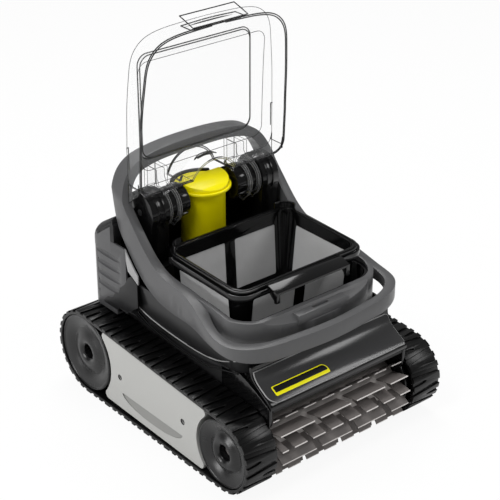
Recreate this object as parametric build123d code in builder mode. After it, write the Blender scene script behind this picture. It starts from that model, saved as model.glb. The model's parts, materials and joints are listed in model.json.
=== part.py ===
"""Tracked cordless pool cleaner, built as separate moulded and fitted pieces.

Millimetres, +Z up, +Y to the rear, +X to the right hand side when it is seen from behind.
The origin is on the floor, under the middle of the tracks.  The clear lid stands open.
"""
import os
from math import atan2, cos, degrees, radians, sin, sqrt, tan

from build123d import *

os.makedirs("parts", exist_ok=True)

# ---------------------------------------------------------------- driving sizes
overall_width = 360.0        # outside of both tracks
wheelbase = 318.0            # rear axle to front axle
rear_rim_radius = 59.8       # belt seat of the driven wheels
front_rim_radius = 50.2      # belt seat of the idler wheels
belt_width = 51.8
belt_base = 4.3              # carcass thickness of the track belt
lug_height = 3.0             # tread height over the carcass
lug_length = 9.0             # tread bar, measured along the belt
lug_pitch = 24.5             # wanted distance from bar to bar

belt_to_body = 3.2           # free space between a belt and the side of the tub
wall = 3.0                   # moulded wall of the housings
thin_wall = 2.4              # wall of the clear lid and of the inner trays

moving_gap = 0.3             # between a moving piece and its neighbour
seat_gap = 0.05              # between two fixed pieces that sit together
running_gap = 0.05           # radial play of a shaft in its bore

tub_floor_z = 22.0
tub_rear_y = 166.0
seam_rear_z = 132.5          # height of the tub's rim at its rear wall
seam_slope = -0.0655         # the rim climbs towards the front
brush_tip_radius = 57.0
brush_core_radius = 27.0
brush_clearance = 4.5        # brush tips to the tub

hinge_y = 93.2
hinge_z = 299.0
barrel_radius = 24.0
hinge_pin_radius = 5.0

outlet_y = 97.0              # axis of the jet outlet, on the centre plane
outlet_radius = 33.0
outlet_flange_radius = 41.5
outlet_flange_z = 306.0
deck_z = 224.0               # top of the deck behind the basket

basket_front_y = -126.0
basket_rear_y = 45.0
basket_rim_z = 261.5         # middle of the rim, on the centre plane
basket_tilt = 1.5            # degrees, the rim falls a little towards the front
basket_depth = 112.0
basket_draft = 5.0           # degrees of taper of the basket's walls

bay_floor_z = 136.0          # inside floor of the filter bay
bay_front_y = -139.0
bay_rear_y = 56.0

# ---------------------------------------------------------------- worked out
rear_radius = rear_rim_radius + belt_base + lug_height
front_radius = front_rim_radius + belt_base + lug_height
rear_axle_y = (wheelbase + front_radius - rear_radius) / 2
front_axle_y = rear_axle_y - wheelbase
rear_axle = (rear_axle_y, rear_radius)
front_axle = (front_axle_y, front_radius)
belt_outer_x = overall_width / 2
belt_inner_x = belt_outer_x - belt_width
body_half_width = belt_inner_x - belt_to_body          # outside of the tub's side walls
brush_half_length = body_half_width - 2 * wall
collar_inner_half_width = body_half_width - 1.0
collar_half_width = collar_inner_half_width + 7.0
bay_half_width = collar_inner_half_width - 2 * wall
basket_half_width = bay_half_width - 1.0
top_run_angle = 2 * degrees(atan2(rear_radius - front_radius, wheelbase))


def seam_z(y):
    """Height of the joint between the tub and the upper shell."""
    return seam_rear_z + seam_slope * (y - tub_rear_y)


def save(builder, name):
    """Label one finished piece and write it."""
    builder.part.label = name
    export_step(builder.part, "parts/" + name + ".step")


def mirrored(part):
    """The same moulding for the other side of the machine."""
    with BuildPart() as other_side:
        add(mirror(part, about=Plane.YZ, mode=Mode.PRIVATE))
    return other_side


def save_pair(builder, name):
    """Write the left piece and its mirror image."""
    save(builder, name + "_left")
    save(mirrored(builder.part), name + "_right")


def side_plane(x):
    """Sketch plane across the machine at x, drawn in (y, z)."""
    return Plane.YZ.offset(x)


def axle_plane(axle):
    """Plane through an axle, drawn in (x along the axle, radius)."""
    return Plane(origin=(0, axle[0], axle[1]), x_dir=(1, 0, 0), z_dir=(0, -1, 0))


def axle_axis(axle):
    return Axis((0, axle[0], axle[1]), (1, 0, 0))


def wheel_loop(growth):
    """Flat outline wrapped round the rims of one side, grown by growth."""
    with BuildSketch() as loop:
        with Locations(front_axle):
            Circle(front_rim_radius + growth)
        with Locations(rear_axle):
            Circle(rear_rim_radius + growth)
        make_hull()
    return loop.sketch


rim_loop = wheel_loop(0)
carcass_loop = wheel_loop(belt_base)
tread_loop = wheel_loop(belt_base + lug_height)

# ================================================================ track belts
def lug_stations():
    """Where each tread bar stands, as (y, z, turn), once round the belt."""
    straight_count = round(wheelbase / lug_pitch)
    step = wheelbase / straight_count
    top_out = 90 + top_run_angle
    rear_arc = top_out + 90
    rear_count = round(radians(rear_arc) * rear_radius / lug_pitch)
    front_arc = 360 - rear_arc
    front_count = round(radians(front_arc) * front_radius / lug_pitch)
    stations = []
    for i in range(straight_count):
        stations.append((front_axle_y + i * step, 0.0, 0.0))
    for i in range(rear_count):
        turn = -90 + i * rear_arc / rear_count
        y = rear_axle[0] + rear_radius * cos(radians(turn))
        z = rear_axle[1] + rear_radius * sin(radians(turn))
        stations.append((y, z, turn + 90))
    top_y = rear_axle[0] + rear_radius * cos(radians(top_out))
    top_z = rear_axle[1] + rear_radius * sin(radians(top_out))
    for i in range(straight_count):
        run = i * step
        y = top_y - run * cos(radians(top_run_angle))
        z = top_z - run * sin(radians(top_run_angle))
        stations.append((y, z, top_run_angle))
    for i in range(front_count):
        turn = top_out + i * front_arc / front_count
        y = front_axle[0] + front_radius * cos(radians(turn))
        z = front_axle[1] + front_radius * sin(radians(turn))
        stations.append((y, z, turn + 90))
    return stations


def tread_bars(stations):
    """The bars at the given stations as one flat outline."""
    with BuildSketch() as bars:
        for y, z, turn in stations:
            with Locations(Location((y, z, 0), (0, 0, turn))):
                Rectangle(lug_length, 4 * lug_height)
        add(tread_loop, mode=Mode.INTERSECT)
        add(wheel_loop(belt_base / 2), mode=Mode.SUBTRACT)
    return bars.sketch


short_bar = belt_width * 0.42
with BuildPart() as track_belt_left:
    with BuildSketch(side_plane(-belt_outer_x)):
        add(carcass_loop)
        add(rim_loop, mode=Mode.SUBTRACT)
    extrude(amount=belt_width)
    with BuildSketch(side_plane(-belt_outer_x)):
        add(tread_bars(lug_stations()[::2]))
    extrude(amount=belt_width)
    half_bars = tread_bars(lug_stations()[1::2])
    with BuildSketch(side_plane(-belt_outer_x)):
        add(half_bars)
    extrude(amount=short_bar)
    with BuildSketch(side_plane(-belt_inner_x)):
        add(half_bars)
    extrude(amount=-short_bar)
save_pair(track_belt_left, "track_belt")

# ================================================================ wheels
wheel_face_x = belt_outer_x - 2.0
wheel_inner_x = belt_inner_x + 3.0
wheel_wall = 4.0
hub_radius = 14.0
hub_hole_radius = 11.0
axle_radius = 8.0
hub_floor_x = wheel_face_x - 17.0
key_width = 5.0
gear_module = 1.6
ring_teeth = 60
pinion_teeth = 12
gear_width = 10.0
ring_pitch_radius = gear_module * ring_teeth / 2
pinion_pitch_radius = gear_module * pinion_teeth / 2
gear_centres = ring_pitch_radius - pinion_pitch_radius
tooth_reach = 0.9 * gear_module
tooth_root_depth = 1.3 * gear_module
tooth_root_width = 1.75 * gear_module
tooth_tip_width = 0.75 * gear_module


def dished_wheel(axle, rim_radius):
    """Wheel with a rolled bead round its hub hole, revolved about the axle."""
    rim = rim_radius - moving_gap
    face = wheel_face_x
    bore = axle_radius + running_gap
    bead_radius = hub_hole_radius + 9
    with BuildPart() as wheel:
        with BuildSketch(axle_plane(axle)):
            with BuildLine():
                Polyline((hub_floor_x, bore), (wheel_inner_x, bore), (wheel_inner_x, hub_radius),
                         (face - 9, hub_radius))
                Spline((face - 9, hub_radius), (face - 7, bead_radius), (face - 12, rim - 18),
                       (face - 7, rim - wheel_wall), tangents=[(1, 1), (1, 1)])
                Polyline((face - 7, rim - wheel_wall), (wheel_inner_x, rim - wheel_wall),
                         (wheel_inner_x, rim), (face - 0.8, rim), (face, rim - 1.6),
                         (face - 1.6, rim - 4))
                Spline((face - 1.6, rim - 4), (face - 7, rim - 18), (face - 1.5, bead_radius),
                       (face - 5, hub_hole_radius), tangents=[(-0.3, -1), (-1, -1)])
                Polyline((face - 5, hub_hole_radius), (hub_floor_x, hub_hole_radius),
                         (hub_floor_x, bore))
            make_face()
        revolve(axis=axle_axis(axle))
        # a drive key stands into the hub hole
        with BuildSketch(side_plane(hub_floor_x)):
            with Locations((axle[0], axle[1] + hub_hole_radius)):
                Rectangle(key_width, 3.0)
        extrude(amount=face - 8 - hub_floor_x)
    return wheel


def tooth_ring(axle, count, root_radius, tip_radius, phase):
    """Flat outline of straight-flanked gear teeth round an axle, root to tip."""
    inward = tip_radius < root_radius
    sink = 0.6 if inward else -0.6
    half_root = tooth_root_width / 2
    half_tip = tooth_tip_width / 2
    with BuildSketch() as teeth:
        with Locations(axle):
            with PolarLocations(0, count, start_angle=phase):
                Polygon((root_radius + sink, -half_root), (tip_radius, -half_tip),
                        (tip_radius, half_tip), (root_radius + sink, half_root), align=None)
    return teeth.sketch


ring_root_radius = ring_pitch_radius + tooth_root_depth
ring_tip_radius = ring_pitch_radius - tooth_reach
pinion_root_radius = pinion_pitch_radius - tooth_root_depth
pinion_tip_radius = pinion_pitch_radius + tooth_reach
gear_low_x = wheel_inner_x
with BuildPart() as wheel_rear_right:
    add(dished_wheel(rear_axle, rear_rim_radius).part)
    # the internal gear sits in the mouth of the drum
    with BuildSketch(side_plane(gear_low_x)):
        with Locations(rear_axle):
            Circle(rear_rim_radius - moving_gap - wheel_wall / 2)
            Circle(ring_root_radius, mode=Mode.SUBTRACT)
        add(tooth_ring(rear_axle, ring_teeth, ring_root_radius, ring_tip_radius, 180 / ring_teeth))
    extrude(amount=gear_width)
wheel_rear_left = mirrored(wheel_rear_right.part)
save(wheel_rear_right, "wheel_rear_right")
save(wheel_rear_left, "wheel_rear_left")

wheel_front_right = dished_wheel(front_axle, front_rim_radius)
save(wheel_front_right, "wheel_front_right")

# ================================================================ drives
motor_radius = 18.0
motor_length = 66.0
motor_face_x = body_half_width - wall - 1.0
motor_shaft_radius = 3.0
snout_radius = 7.0
snout_end_x = body_half_width + 2.0
pinion_axle = (rear_axle_y - gear_centres, rear_radius)
pinion_low_x = wheel_inner_x + 0.5

with BuildPart() as drive_pinion_right:
    with BuildSketch(side_plane(pinion_low_x)):
        with Locations(pinion_axle):
            Circle(pinion_root_radius)
        add(tooth_ring(pinion_axle, pinion_teeth, pinion_root_radius, pinion_tip_radius, 180))
    extrude(amount=gear_width - 1)
    with BuildSketch(side_plane(motor_face_x - 12)):
        with Locations(pinion_axle):
            Circle(motor_shaft_radius)
    extrude(until=Until.NEXT)
save(drive_pinion_right, "drive_pinion_right")
save(mirrored(drive_pinion_right.part), "drive_pinion_left")

with BuildPart() as drive_motor_right:
    with BuildSketch(side_plane(motor_face_x)):
        with Locations(pinion_axle):
            Circle(motor_radius)
    extrude(amount=-motor_length)
    fillet(drive_motor_right.edges().filter_by(GeomType.CIRCLE), 2.0)
    with BuildSketch(side_plane(motor_face_x)):
        with Locations(pinion_axle):
            Circle(snout_radius)
    extrude(amount=snout_end_x - motor_face_x)
    with BuildSketch(side_plane(snout_end_x)):
        with Locations(pinion_axle):
            Circle(motor_shaft_radius + running_gap)
    extrude(amount=-(snout_end_x - motor_face_x + 13), mode=Mode.SUBTRACT)
save(drive_motor_right, "drive_motor_right")
save(mirrored(drive_motor_right.part), "drive_motor_left")

# stub axles of the two rear wheels and the right front wheel, and the discs that hold the wheels on
retainer_radius = 8.6
retainer_length = 3.0
stub_flange_radius = 12.0
stub_end_x = hub_floor_x + moving_gap
bracket_inner_x = brush_half_length + wall / 2
bracket_outer_x = body_half_width + 1.0


def stub_axle(axle, seat_x):
    """Fixed axle with a flange against the side of the body."""
    with BuildPart() as stub:
        with BuildSketch(axle_plane(axle)):
            with BuildLine():
                Polyline((seat_x, 0), (seat_x, stub_flange_radius), (wheel_inner_x - 1, stub_flange_radius),
                         (wheel_inner_x - 1, axle_radius), (stub_end_x, axle_radius), (stub_end_x, 0),
                         close=True)
            make_face()
        revolve(axis=axle_axis(axle))
    return stub


def retainer_disc(axle, seat_x):
    """Screwed disc on the end of an axle."""
    with BuildPart() as disc:
        with BuildSketch(side_plane(seat_x)):
            with Locations(axle):
                Circle(retainer_radius)
        extrude(amount=retainer_length)
        with BuildSketch(side_plane(seat_x + retainer_length)):
            with Locations(axle):
                RegularPolygon(3.0, 6)
        extrude(amount=-1.6, mode=Mode.SUBTRACT)
    return disc


rear_stub_right = stub_axle(rear_axle, body_half_width + seat_gap)
with BuildPart() as axle_stubs:
    add(rear_stub_right.part)
    add(mirrored(rear_stub_right.part).part)
    add(stub_axle(front_axle, bracket_outer_x + seat_gap).part)
save(axle_stubs, "axle_stubs")

rear_retainer = retainer_disc(rear_axle, stub_end_x)
with BuildPart() as wheel_retainers:
    add(rear_retainer.part)
    add(mirrored(rear_retainer.part).part)
    add(retainer_disc(front_axle, stub_end_x).part)
save(wheel_retainers, "wheel_retainers")

# ================================================================ brush
blade_rows = 12
blades_per_row = 5
blade_thickness = 2.4
blade_split = 3.0
blade_lean = 18.0
blade_pitch = 2 * brush_half_length / blades_per_row

with BuildPart() as brush_core:
    with BuildSketch(side_plane(-brush_half_length)):
        with Locations(front_axle):
            Circle(brush_core_radius)
    extrude(amount=2 * brush_half_length)
    # the left end carries through its bush and drives with the left front wheel
    with BuildSketch(side_plane(-stub_end_x)):
        with Locations(front_axle):
            Circle(axle_radius)
    extrude(until=Until.NEXT)
    with BuildSketch(side_plane(bracket_outer_x - 0.5)):
        with Locations(front_axle):
            Circle(axle_radius)
    extrude(amount=-(bracket_outer_x - brush_half_length))
    with BuildSketch(side_plane(-stub_end_x)):
        with Locations(front_axle):
            Circle(retainer_radius)
    extrude(amount=-retainer_length)
save(brush_core, "brush_core")

with BuildPart() as brush_blades:
    with BuildSketch(side_plane(-brush_half_length + 0.5)):
        with Locations(front_axle):
            Circle(brush_core_radius + 2.2)
            Circle(brush_core_radius + seat_gap, mode=Mode.SUBTRACT)
    extrude(amount=2 * brush_half_length - 1)
    for shift in (0, 1):
        for blade in range(blades_per_row + shift):
            start = -brush_half_length + (blade - shift / 2) * blade_pitch + blade_split / 2
            low = max(start, -brush_half_length + 0.5)
            high = min(start + blade_pitch - blade_split, brush_half_length - 0.5)
            with BuildSketch(side_plane(low)):
                with Locations(front_axle):
                    with PolarLocations(0, blade_rows // 2, start_angle=shift * 360 / blade_rows):
                        blade_foot = brush_core_radius + 1.2
                        lean = (brush_tip_radius - blade_foot) * tan(radians(blade_lean))
                        Polygon((blade_foot, 0), (brush_tip_radius * cos(radians(12)), lean),
                                (brush_tip_radius * cos(radians(12)), lean + blade_thickness * 0.6),
                                (blade_foot, blade_thickness), align=None)
            extrude(amount=high - low)
save(brush_blades, "brush_blades")

wheel_front_left = mirrored(wheel_front_right.part)
save(wheel_front_left, "wheel_front_left")

# ================================================================ front brackets and bushes
bush_radius = 12.0
bracket_disc_radius = 46.0
hood_front_y = -203.0
hood_low_z = 122.0
cheek_low_z = 96.0
bracket_rear_y = -100.0
with BuildPart() as front_bracket_right:
    with BuildSketch(side_plane(bracket_inner_x)):
        with BuildLine():
            Polyline((bracket_rear_y, 70), (bracket_rear_y, seam_z(bracket_rear_y) - seat_gap),
                     (-134, seam_z(-134) - seat_gap))
            Spline((-134, seam_z(-134) - seat_gap), (-170, 138.5), (hood_front_y + 3, hood_low_z + 1))
            Polyline((hood_front_y + 3, hood_low_z + 1), (hood_front_y + 3, cheek_low_z), (-175, 70),
                     (bracket_rear_y, 70))
        make_face()
        with Locations(front_axle):
            Circle(bracket_disc_radius)
            Circle(bush_radius + seat_gap, mode=Mode.SUBTRACT)
    extrude(amount=bracket_outer_x - bracket_inner_x)
save(front_bracket_right, "front_bracket_right")
save(mirrored(front_bracket_right.part), "front_bracket_left")

with BuildPart() as brush_bushes:
    for low in (bracket_inner_x + 0.4, -bracket_outer_x):
        with BuildSketch(side_plane(low)):
            with Locations(front_axle):
                Circle(bush_radius)
                Circle(axle_radius + running_gap, mode=Mode.SUBTRACT)
        extrude(amount=bracket_outer_x - bracket_inner_x - 0.4)
save(brush_bushes, "brush_bushes")

# ================================================================ tub, duct and bottom plate
brush_bay_radius = brush_tip_radius + brush_clearance
duct_half_width = 62.0
duct_half_length = 17.0
duct_y = -45.0
duct_top_z = 147.2
tub_front_y = -145.0
tub_heel = 26.0


def tub_outline(inset, top_rise):
    """Side view of the tub, with the brush bay cut out of its nose."""
    with BuildSketch() as outline:
        Polygon((tub_front_y + inset, tub_floor_z + inset), (tub_rear_y - tub_heel, tub_floor_z + inset),
                (tub_rear_y - inset, tub_floor_z + tub_heel + inset),
                (tub_rear_y - inset, seam_z(tub_rear_y) + top_rise),
                (tub_front_y + inset, seam_z(tub_front_y + inset) + top_rise), align=None)
        with Locations(front_axle):
            Circle(brush_bay_radius + inset, mode=Mode.SUBTRACT)
    return outline.sketch


with BuildPart() as chassis_tub:
    with BuildSketch(side_plane(-body_half_width)):
        add(tub_outline(0, 0))
    extrude(amount=2 * body_half_width)
    with BuildSketch(side_plane(-body_half_width + wall)):
        add(tub_outline(wall, 40))
    extrude(amount=2 * (body_half_width - wall), mode=Mode.SUBTRACT)
    # bosses and openings for the drives
    for low in (-body_half_width, body_half_width - wall):
        with BuildSketch(side_plane(low)):
            with Locations(pinion_axle):
                Circle(snout_radius + seat_gap)
        extrude(amount=wall, mode=Mode.SUBTRACT)
    # the nose beside the brush bay gives its sides to the front brackets
    for low in (-body_half_width, bracket_inner_x - seat_gap):
        with BuildSketch(side_plane(low)):
            with Locations((bracket_rear_y - 30 + seat_gap, 90)):
                Rectangle(60, 160)
        extrude(amount=body_half_width - bracket_inner_x + seat_gap, mode=Mode.SUBTRACT)
    with BuildSketch(Plane.XY.offset(tub_floor_z)):
        with Locations((0, duct_y)):
            RectangleRounded(2 * (duct_half_width + seat_gap), 2 * (duct_half_length + seat_gap), 6)
    extrude(amount=wall, mode=Mode.SUBTRACT)
save(chassis_tub, "chassis_tub")

with BuildPart() as intake_duct:
    with BuildSketch(Plane.XY.offset(tub_floor_z)):
        with Locations((0, duct_y)):
            RectangleRounded(2 * duct_half_width, 2 * duct_half_length, 6)
            RectangleRounded(2 * (duct_half_width - thin_wall), 2 * (duct_half_length - thin_wall), 4,
                             mode=Mode.SUBTRACT)
    extrude(amount=duct_top_z - tub_floor_z)
save(intake_duct, "intake_duct")

plate_thickness = 4.0
plate_half_width = body_half_width - 21.0
plate_front_y = -92.0
plate_rear_y = 118.0
screw_head_radius = 3.6
screw_radius = 1.8
plate_screw_x = plate_half_width - 10.0
plate_screw_y = [plate_front_y + 12, (plate_front_y + plate_rear_y) / 2, plate_rear_y - 12]
plate_screws = [(x, y) for x in (-plate_screw_x, plate_screw_x) for y in plate_screw_y]
with BuildPart() as bottom_plate:
    with BuildSketch(Plane.XY.offset(tub_floor_z - seat_gap)):
        with Locations((0, (plate_front_y + plate_rear_y) / 2)):
            RectangleRounded(2 * plate_half_width, plate_rear_y - plate_front_y, 12)
        with Locations((0, duct_y)):
            RectangleRounded(2 * (duct_half_width - thin_wall), 2 * (duct_half_length - thin_wall), 4,
                             mode=Mode.SUBTRACT)
        with Locations(*plate_screws):
            Circle(screw_radius + seat_gap, mode=Mode.SUBTRACT)
    extrude(amount=-plate_thickness)
    # suction lips round the mouth
    with BuildSketch(Plane.XY.offset(tub_floor_z - seat_gap - plate_thickness)):
        with Locations((0, duct_y)):
            RectangleRounded(2 * duct_half_width + 30, 2 * duct_half_length + 22, 14)
            RectangleRounded(2 * duct_half_width + 24, 2 * duct_half_length + 16, 11, mode=Mode.SUBTRACT)
    extrude(amount=-7)
save(bottom_plate, "bottom_plate")

with BuildPart() as bottom_screws:
    with BuildSketch(Plane.XY.offset(tub_floor_z - 2 * seat_gap - plate_thickness)):
        with Locations(*plate_screws):
            Circle(screw_head_radius)
    extrude(amount=-2.0)
    with BuildSketch(Plane.XY.offset(tub_floor_z - 2 * seat_gap - plate_thickness)):
        with Locations(*plate_screws):
            Circle(screw_radius)
    extrude(amount=plate_thickness)
save(bottom_screws, "bottom_screws")

# ================================================================ side panels
panel_face_x = belt_outer_x - 2.0
panel_inner_x = belt_inner_x + 2.0
panel_plate = 3.0
panel_loop_gap = 0.8
panel_wheel_gap = 4.5
panel_corner = 7.0
panel_foot_front_z = 9.0
panel_foot_slope = 0.021
side_screw_places = [(68.0, 65.0), (-79.0, 66.0)]
side_screw_radius = 4.0


def panel_outline(inset):
    """Side cover between the wheels, hollowed round both of them."""
    with BuildSketch() as outline:
        add(wheel_loop(-panel_loop_gap - inset))
        with Locations(rear_axle):
            Circle(rear_rim_radius + panel_wheel_gap + inset, mode=Mode.SUBTRACT)
        with Locations(front_axle):
            Circle(front_rim_radius + panel_wheel_gap + inset, mode=Mode.SUBTRACT)
        foot_rise = panel_foot_slope * wheelbase
        Polygon((front_axle_y, -5), (rear_axle_y, -5),
                (rear_axle_y, panel_foot_front_z + foot_rise + inset),
                (front_axle_y, panel_foot_front_z + inset), align=None, mode=Mode.SUBTRACT)
        Polygon((rear_axle_y - 4, -5), (rear_axle_y + 90, -5), (rear_axle_y + 90, 160),
                (rear_axle_y - 4, 160), align=None, mode=Mode.SUBTRACT)
        Polygon((front_axle_y + 4, -5), (front_axle_y + 4, 160), (front_axle_y - 90, 160),
                (front_axle_y - 90, -5), align=None, mode=Mode.SUBTRACT)
        fillet(outline.vertices(), max(panel_corner - inset, 1.0))
    return outline.sketch


with BuildPart() as side_panel_right:
    with BuildSketch(side_plane(panel_inner_x)):
        add(panel_outline(0))
    extrude(amount=panel_face_x - panel_inner_x)
    with BuildSketch(side_plane(panel_inner_x)):
        add(panel_outline(panel_plate))
    extrude(amount=panel_face_x - panel_plate - panel_inner_x, mode=Mode.SUBTRACT)
    # screw pillars
    with BuildSketch(side_plane(panel_inner_x)):
        with Locations(*side_screw_places):
            Circle(side_screw_radius + 3)
    extrude(amount=panel_face_x - 1 - panel_inner_x)
    with BuildSketch(side_plane(panel_face_x)):
        with Locations(*side_screw_places):
            Circle(side_screw_radius + seat_gap)
    extrude(amount=-8, mode=Mode.SUBTRACT)
    # sickle shaped finger groove
    with BuildSketch(side_plane(panel_face_x)):
        with BuildLine():
            ThreePointArc((58, 43), (0, 22), (-68, 39))
            ThreePointArc((-68, 39), (-2, 30), (58, 43))
        make_face()
    extrude(amount=-1.6, mode=Mode.SUBTRACT)
save(side_panel_right, "side_panel_right")
save(mirrored(side_panel_right.part), "side_panel_left")

with BuildPart() as side_screws:
    for side in (-1, 1):
        with BuildSketch(side_plane(side * (panel_face_x - 3))):
            with Locations(*side_screw_places):
                Circle(side_screw_radius)
                RegularPolygon(1.8, 6, mode=Mode.SUBTRACT)
        extrude(amount=-side * 5)
save(side_screws, "side_screws")

# ================================================================ upper shell and hood
shell_base_z = 118.0
shell_top_z = 203.0
shell_draft = 9.0
shell_front_y = -148.0
shell_rear_y = 158.0
shell_corner = 24.0


def shell_body(inset):
    """Block that widens upwards, cut to the seam of the tub."""
    length = shell_rear_y - shell_front_y
    with BuildPart() as block:
        with BuildSketch(Plane.XY.offset(shell_base_z)):
            with Locations((0, (shell_rear_y + shell_front_y) / 2)):
                RectangleRounded(2 * (body_half_width - inset), length - 2 * inset, shell_corner - inset)
        extrude(amount=shell_top_z - shell_base_z, taper=-shell_draft)
    return block


far_y = 400.0


def seam_cutter(drop):
    """Everything below the tub's rim."""
    with BuildPart() as cutter:
        with BuildSketch(side_plane(-overall_width)):
            Polygon((-far_y, 0), (far_y, 0), (far_y, seam_z(far_y) + drop),
                    (-far_y, seam_z(-far_y) + drop), align=None)
        extrude(amount=2 * overall_width)
    return cutter


frame_low_z = 176.0
band_underside = [(-192, 178), (-170, 181), (-150, 186), (-105, 193), (-60, 194), (-15, 191), (29, 197),
                  (68, 221), (97, 253), (115, 276), (126, 306), (134, 335), (142, 372), (143, 396)]
above_everything = 500.0
far_front_y = -300.0


def above_bands(drop):
    """All the space over the underside of the carry frame's bands, started drop lower."""
    band_front_y, band_front_z = band_underside[0]
    band_rear_y, band_rear_z = band_underside[-1]
    with BuildPart() as space:
        with BuildSketch(Plane(origin=(-overall_width, 0, -drop), x_dir=(0, 1, 0), z_dir=(1, 0, 0))):
            with BuildLine():
                Spline(*band_underside)
                Polyline((band_rear_y, band_rear_z), (band_rear_y, above_everything),
                         (far_front_y, above_everything), (far_front_y, band_front_z),
                         (band_front_y, band_front_z))
            make_face()
        extrude(amount=2 * overall_width)
    return space


seam_bead = 1.8
seam_bead_height = 3.2
bead_front_y = shell_front_y + shell_corner
bead_rear_y = 90.0

# a bead runs along the foot of both flanks of the shell
with BuildPart() as flank_beads:
    add(shell_body(-seam_bead).part)
    add(shell_body(wall / 2).part, mode=Mode.SUBTRACT)
    with BuildSketch(side_plane(-overall_width)):
        Polygon((bead_front_y, seam_z(bead_front_y)), (bead_rear_y, seam_z(bead_rear_y)),
                (bead_rear_y, seam_z(bead_rear_y) + seam_bead_height),
                (bead_front_y, seam_z(bead_front_y) + seam_bead_height), align=None)
    extrude(amount=2 * overall_width, mode=Mode.INTERSECT)

with BuildPart() as upper_shell:
    add(shell_body(0).part)
    add(shell_body(wall).part, mode=Mode.SUBTRACT)
    add(flank_beads.part)
    add(seam_cutter(seat_gap).part, mode=Mode.SUBTRACT)
    # the carry frame rests on the shell's upper edge
    add(above_bands(seat_gap).part, mode=Mode.SUBTRACT)
    with BuildSketch(side_plane(-overall_width)):
        Polygon((far_front_y, frame_low_z), (bracket_rear_y, frame_low_z),
                (bracket_rear_y, above_everything), (far_front_y, above_everything), align=None)
    extrude(amount=2 * overall_width, mode=Mode.SUBTRACT)
save(upper_shell, "upper_shell")

with BuildPart() as front_hood:
    with BuildSketch(side_plane(-bracket_outer_x)):
        with BuildLine():
            Line((-155.5, seam_z(-152) - 2), (-158.5, 170))
            Line((-158.5, 170), (-163, 170))
            Spline((-163, 170), (-167, 154.5), (-182, 142.5), (hood_front_y, 128))
            Line((hood_front_y, 128), (hood_front_y, hood_low_z))
            Line((hood_front_y, hood_low_z), (hood_front_y + wall, hood_low_z))
            Line((hood_front_y + wall, hood_low_z), (hood_front_y + wall, 126.5))
            Spline((hood_front_y + wall, 126.5), (-182, 139), (-166, 148), (-155.5, seam_z(-152) - 2))
        make_face()
    extrude(amount=2 * bracket_outer_x)
save(front_hood, "front_hood")

with BuildPart() as hood_trim:
    with BuildSketch(side_plane(-bracket_inner_x + 1)):
        Polygon((hood_front_y + wall + seat_gap, 126), (hood_front_y + wall + seat_gap, hood_low_z - 6),
                (hood_front_y + 6, hood_low_z - 8), (hood_front_y + 10, hood_low_z - 6),
                (hood_front_y + 8, 127.5), align=None)
    extrude(amount=2 * (bracket_inner_x - 1))
save(hood_trim, "hood_trim")

# ================================================================ filter bay
bay_corner = 34.0
collar_inner_front_y = -143.0
collar_corner = 44.0
bay_outer_rear_y = 151.0
bay_wall_top_z = deck_z - 3.0 - seat_gap
bulkhead_wall = 2.4


def bay_outline(growth, rear_y, corner):
    with BuildSketch() as outline:
        with Locations((0, (bay_front_y + rear_y) / 2)):
            RectangleRounded(2 * (bay_half_width + growth), rear_y - bay_front_y + 2 * growth, corner)
    return outline.sketch


with BuildPart() as filter_bay:
    with BuildSketch(Plane.XY.offset(bay_floor_z - thin_wall)):
        add(bay_outline(thin_wall, bay_outer_rear_y, bay_corner))
    extrude(amount=bay_wall_top_z - bay_floor_z + thin_wall)
    with BuildSketch(Plane.XY.offset(bay_floor_z)):
        add(bay_outline(0, bay_outer_rear_y, bay_corner - thin_wall))
    extrude(amount=bay_wall_top_z, mode=Mode.SUBTRACT)
    # rim flange, seated in the collar
    with BuildSketch(Plane.XY.offset(bay_wall_top_z - 3)):
        with Locations((0, (collar_inner_front_y + seat_gap + bay_outer_rear_y) / 2)):
            RectangleRounded(2 * (collar_inner_half_width - seat_gap),
                             bay_outer_rear_y - collar_inner_front_y - seat_gap, collar_corner - 7)
        add(bay_outline(0, bay_outer_rear_y, bay_corner - thin_wall), mode=Mode.SUBTRACT)
    extrude(amount=3)
    # bulkhead between the basket and the pump, with suction slots
    with BuildSketch(Plane.XY.offset(bay_floor_z)):
        with Locations((0, bay_rear_y + bulkhead_wall / 2)):
            Rectangle(2 * bay_half_width + 1, bulkhead_wall)
    extrude(amount=bay_wall_top_z - bay_floor_z)
    with BuildSketch(Plane.XZ.offset(-bay_rear_y)):
        with Locations((0, bay_floor_z + 30)):
            with GridLocations(14, 1, 9, 1):
                SlotOverall(36, 6, rotation=90)
    extrude(amount=-bulkhead_wall, mode=Mode.SUBTRACT)
    # mouth of the intake duct
    with BuildSketch(Plane.XY.offset(bay_floor_z - thin_wall)):
        with Locations((0, duct_y)):
            RectangleRounded(2 * (duct_half_width + seat_gap), 2 * (duct_half_length + seat_gap), 6)
    extrude(amount=thin_wall, mode=Mode.SUBTRACT)
save(filter_bay, "filter_bay")

# ================================================================ carry frame: handle, collar, bands and arch
collar_front_y = -151.0
handle_front_y = -187.0
handle_inner_y = -175.5
apron_front_y = -167.0
arch_top_z = 376.0
arch_foot_z = 250.0
arch_inner_z = 359.0
frame_top_z = 400.0


def span(*points):
    """Spline through points that end on the centre line, and on through their mirror images."""
    return Spline(*points, *[(-x, other) for x, other in reversed(points[:-1])])


def beside_collar(*points, side=1):
    """Points given by how far outside the collar they lie, placed on one side of the machine."""
    return [(side * (collar_half_width + beyond), other) for beyond, other in points]


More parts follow.
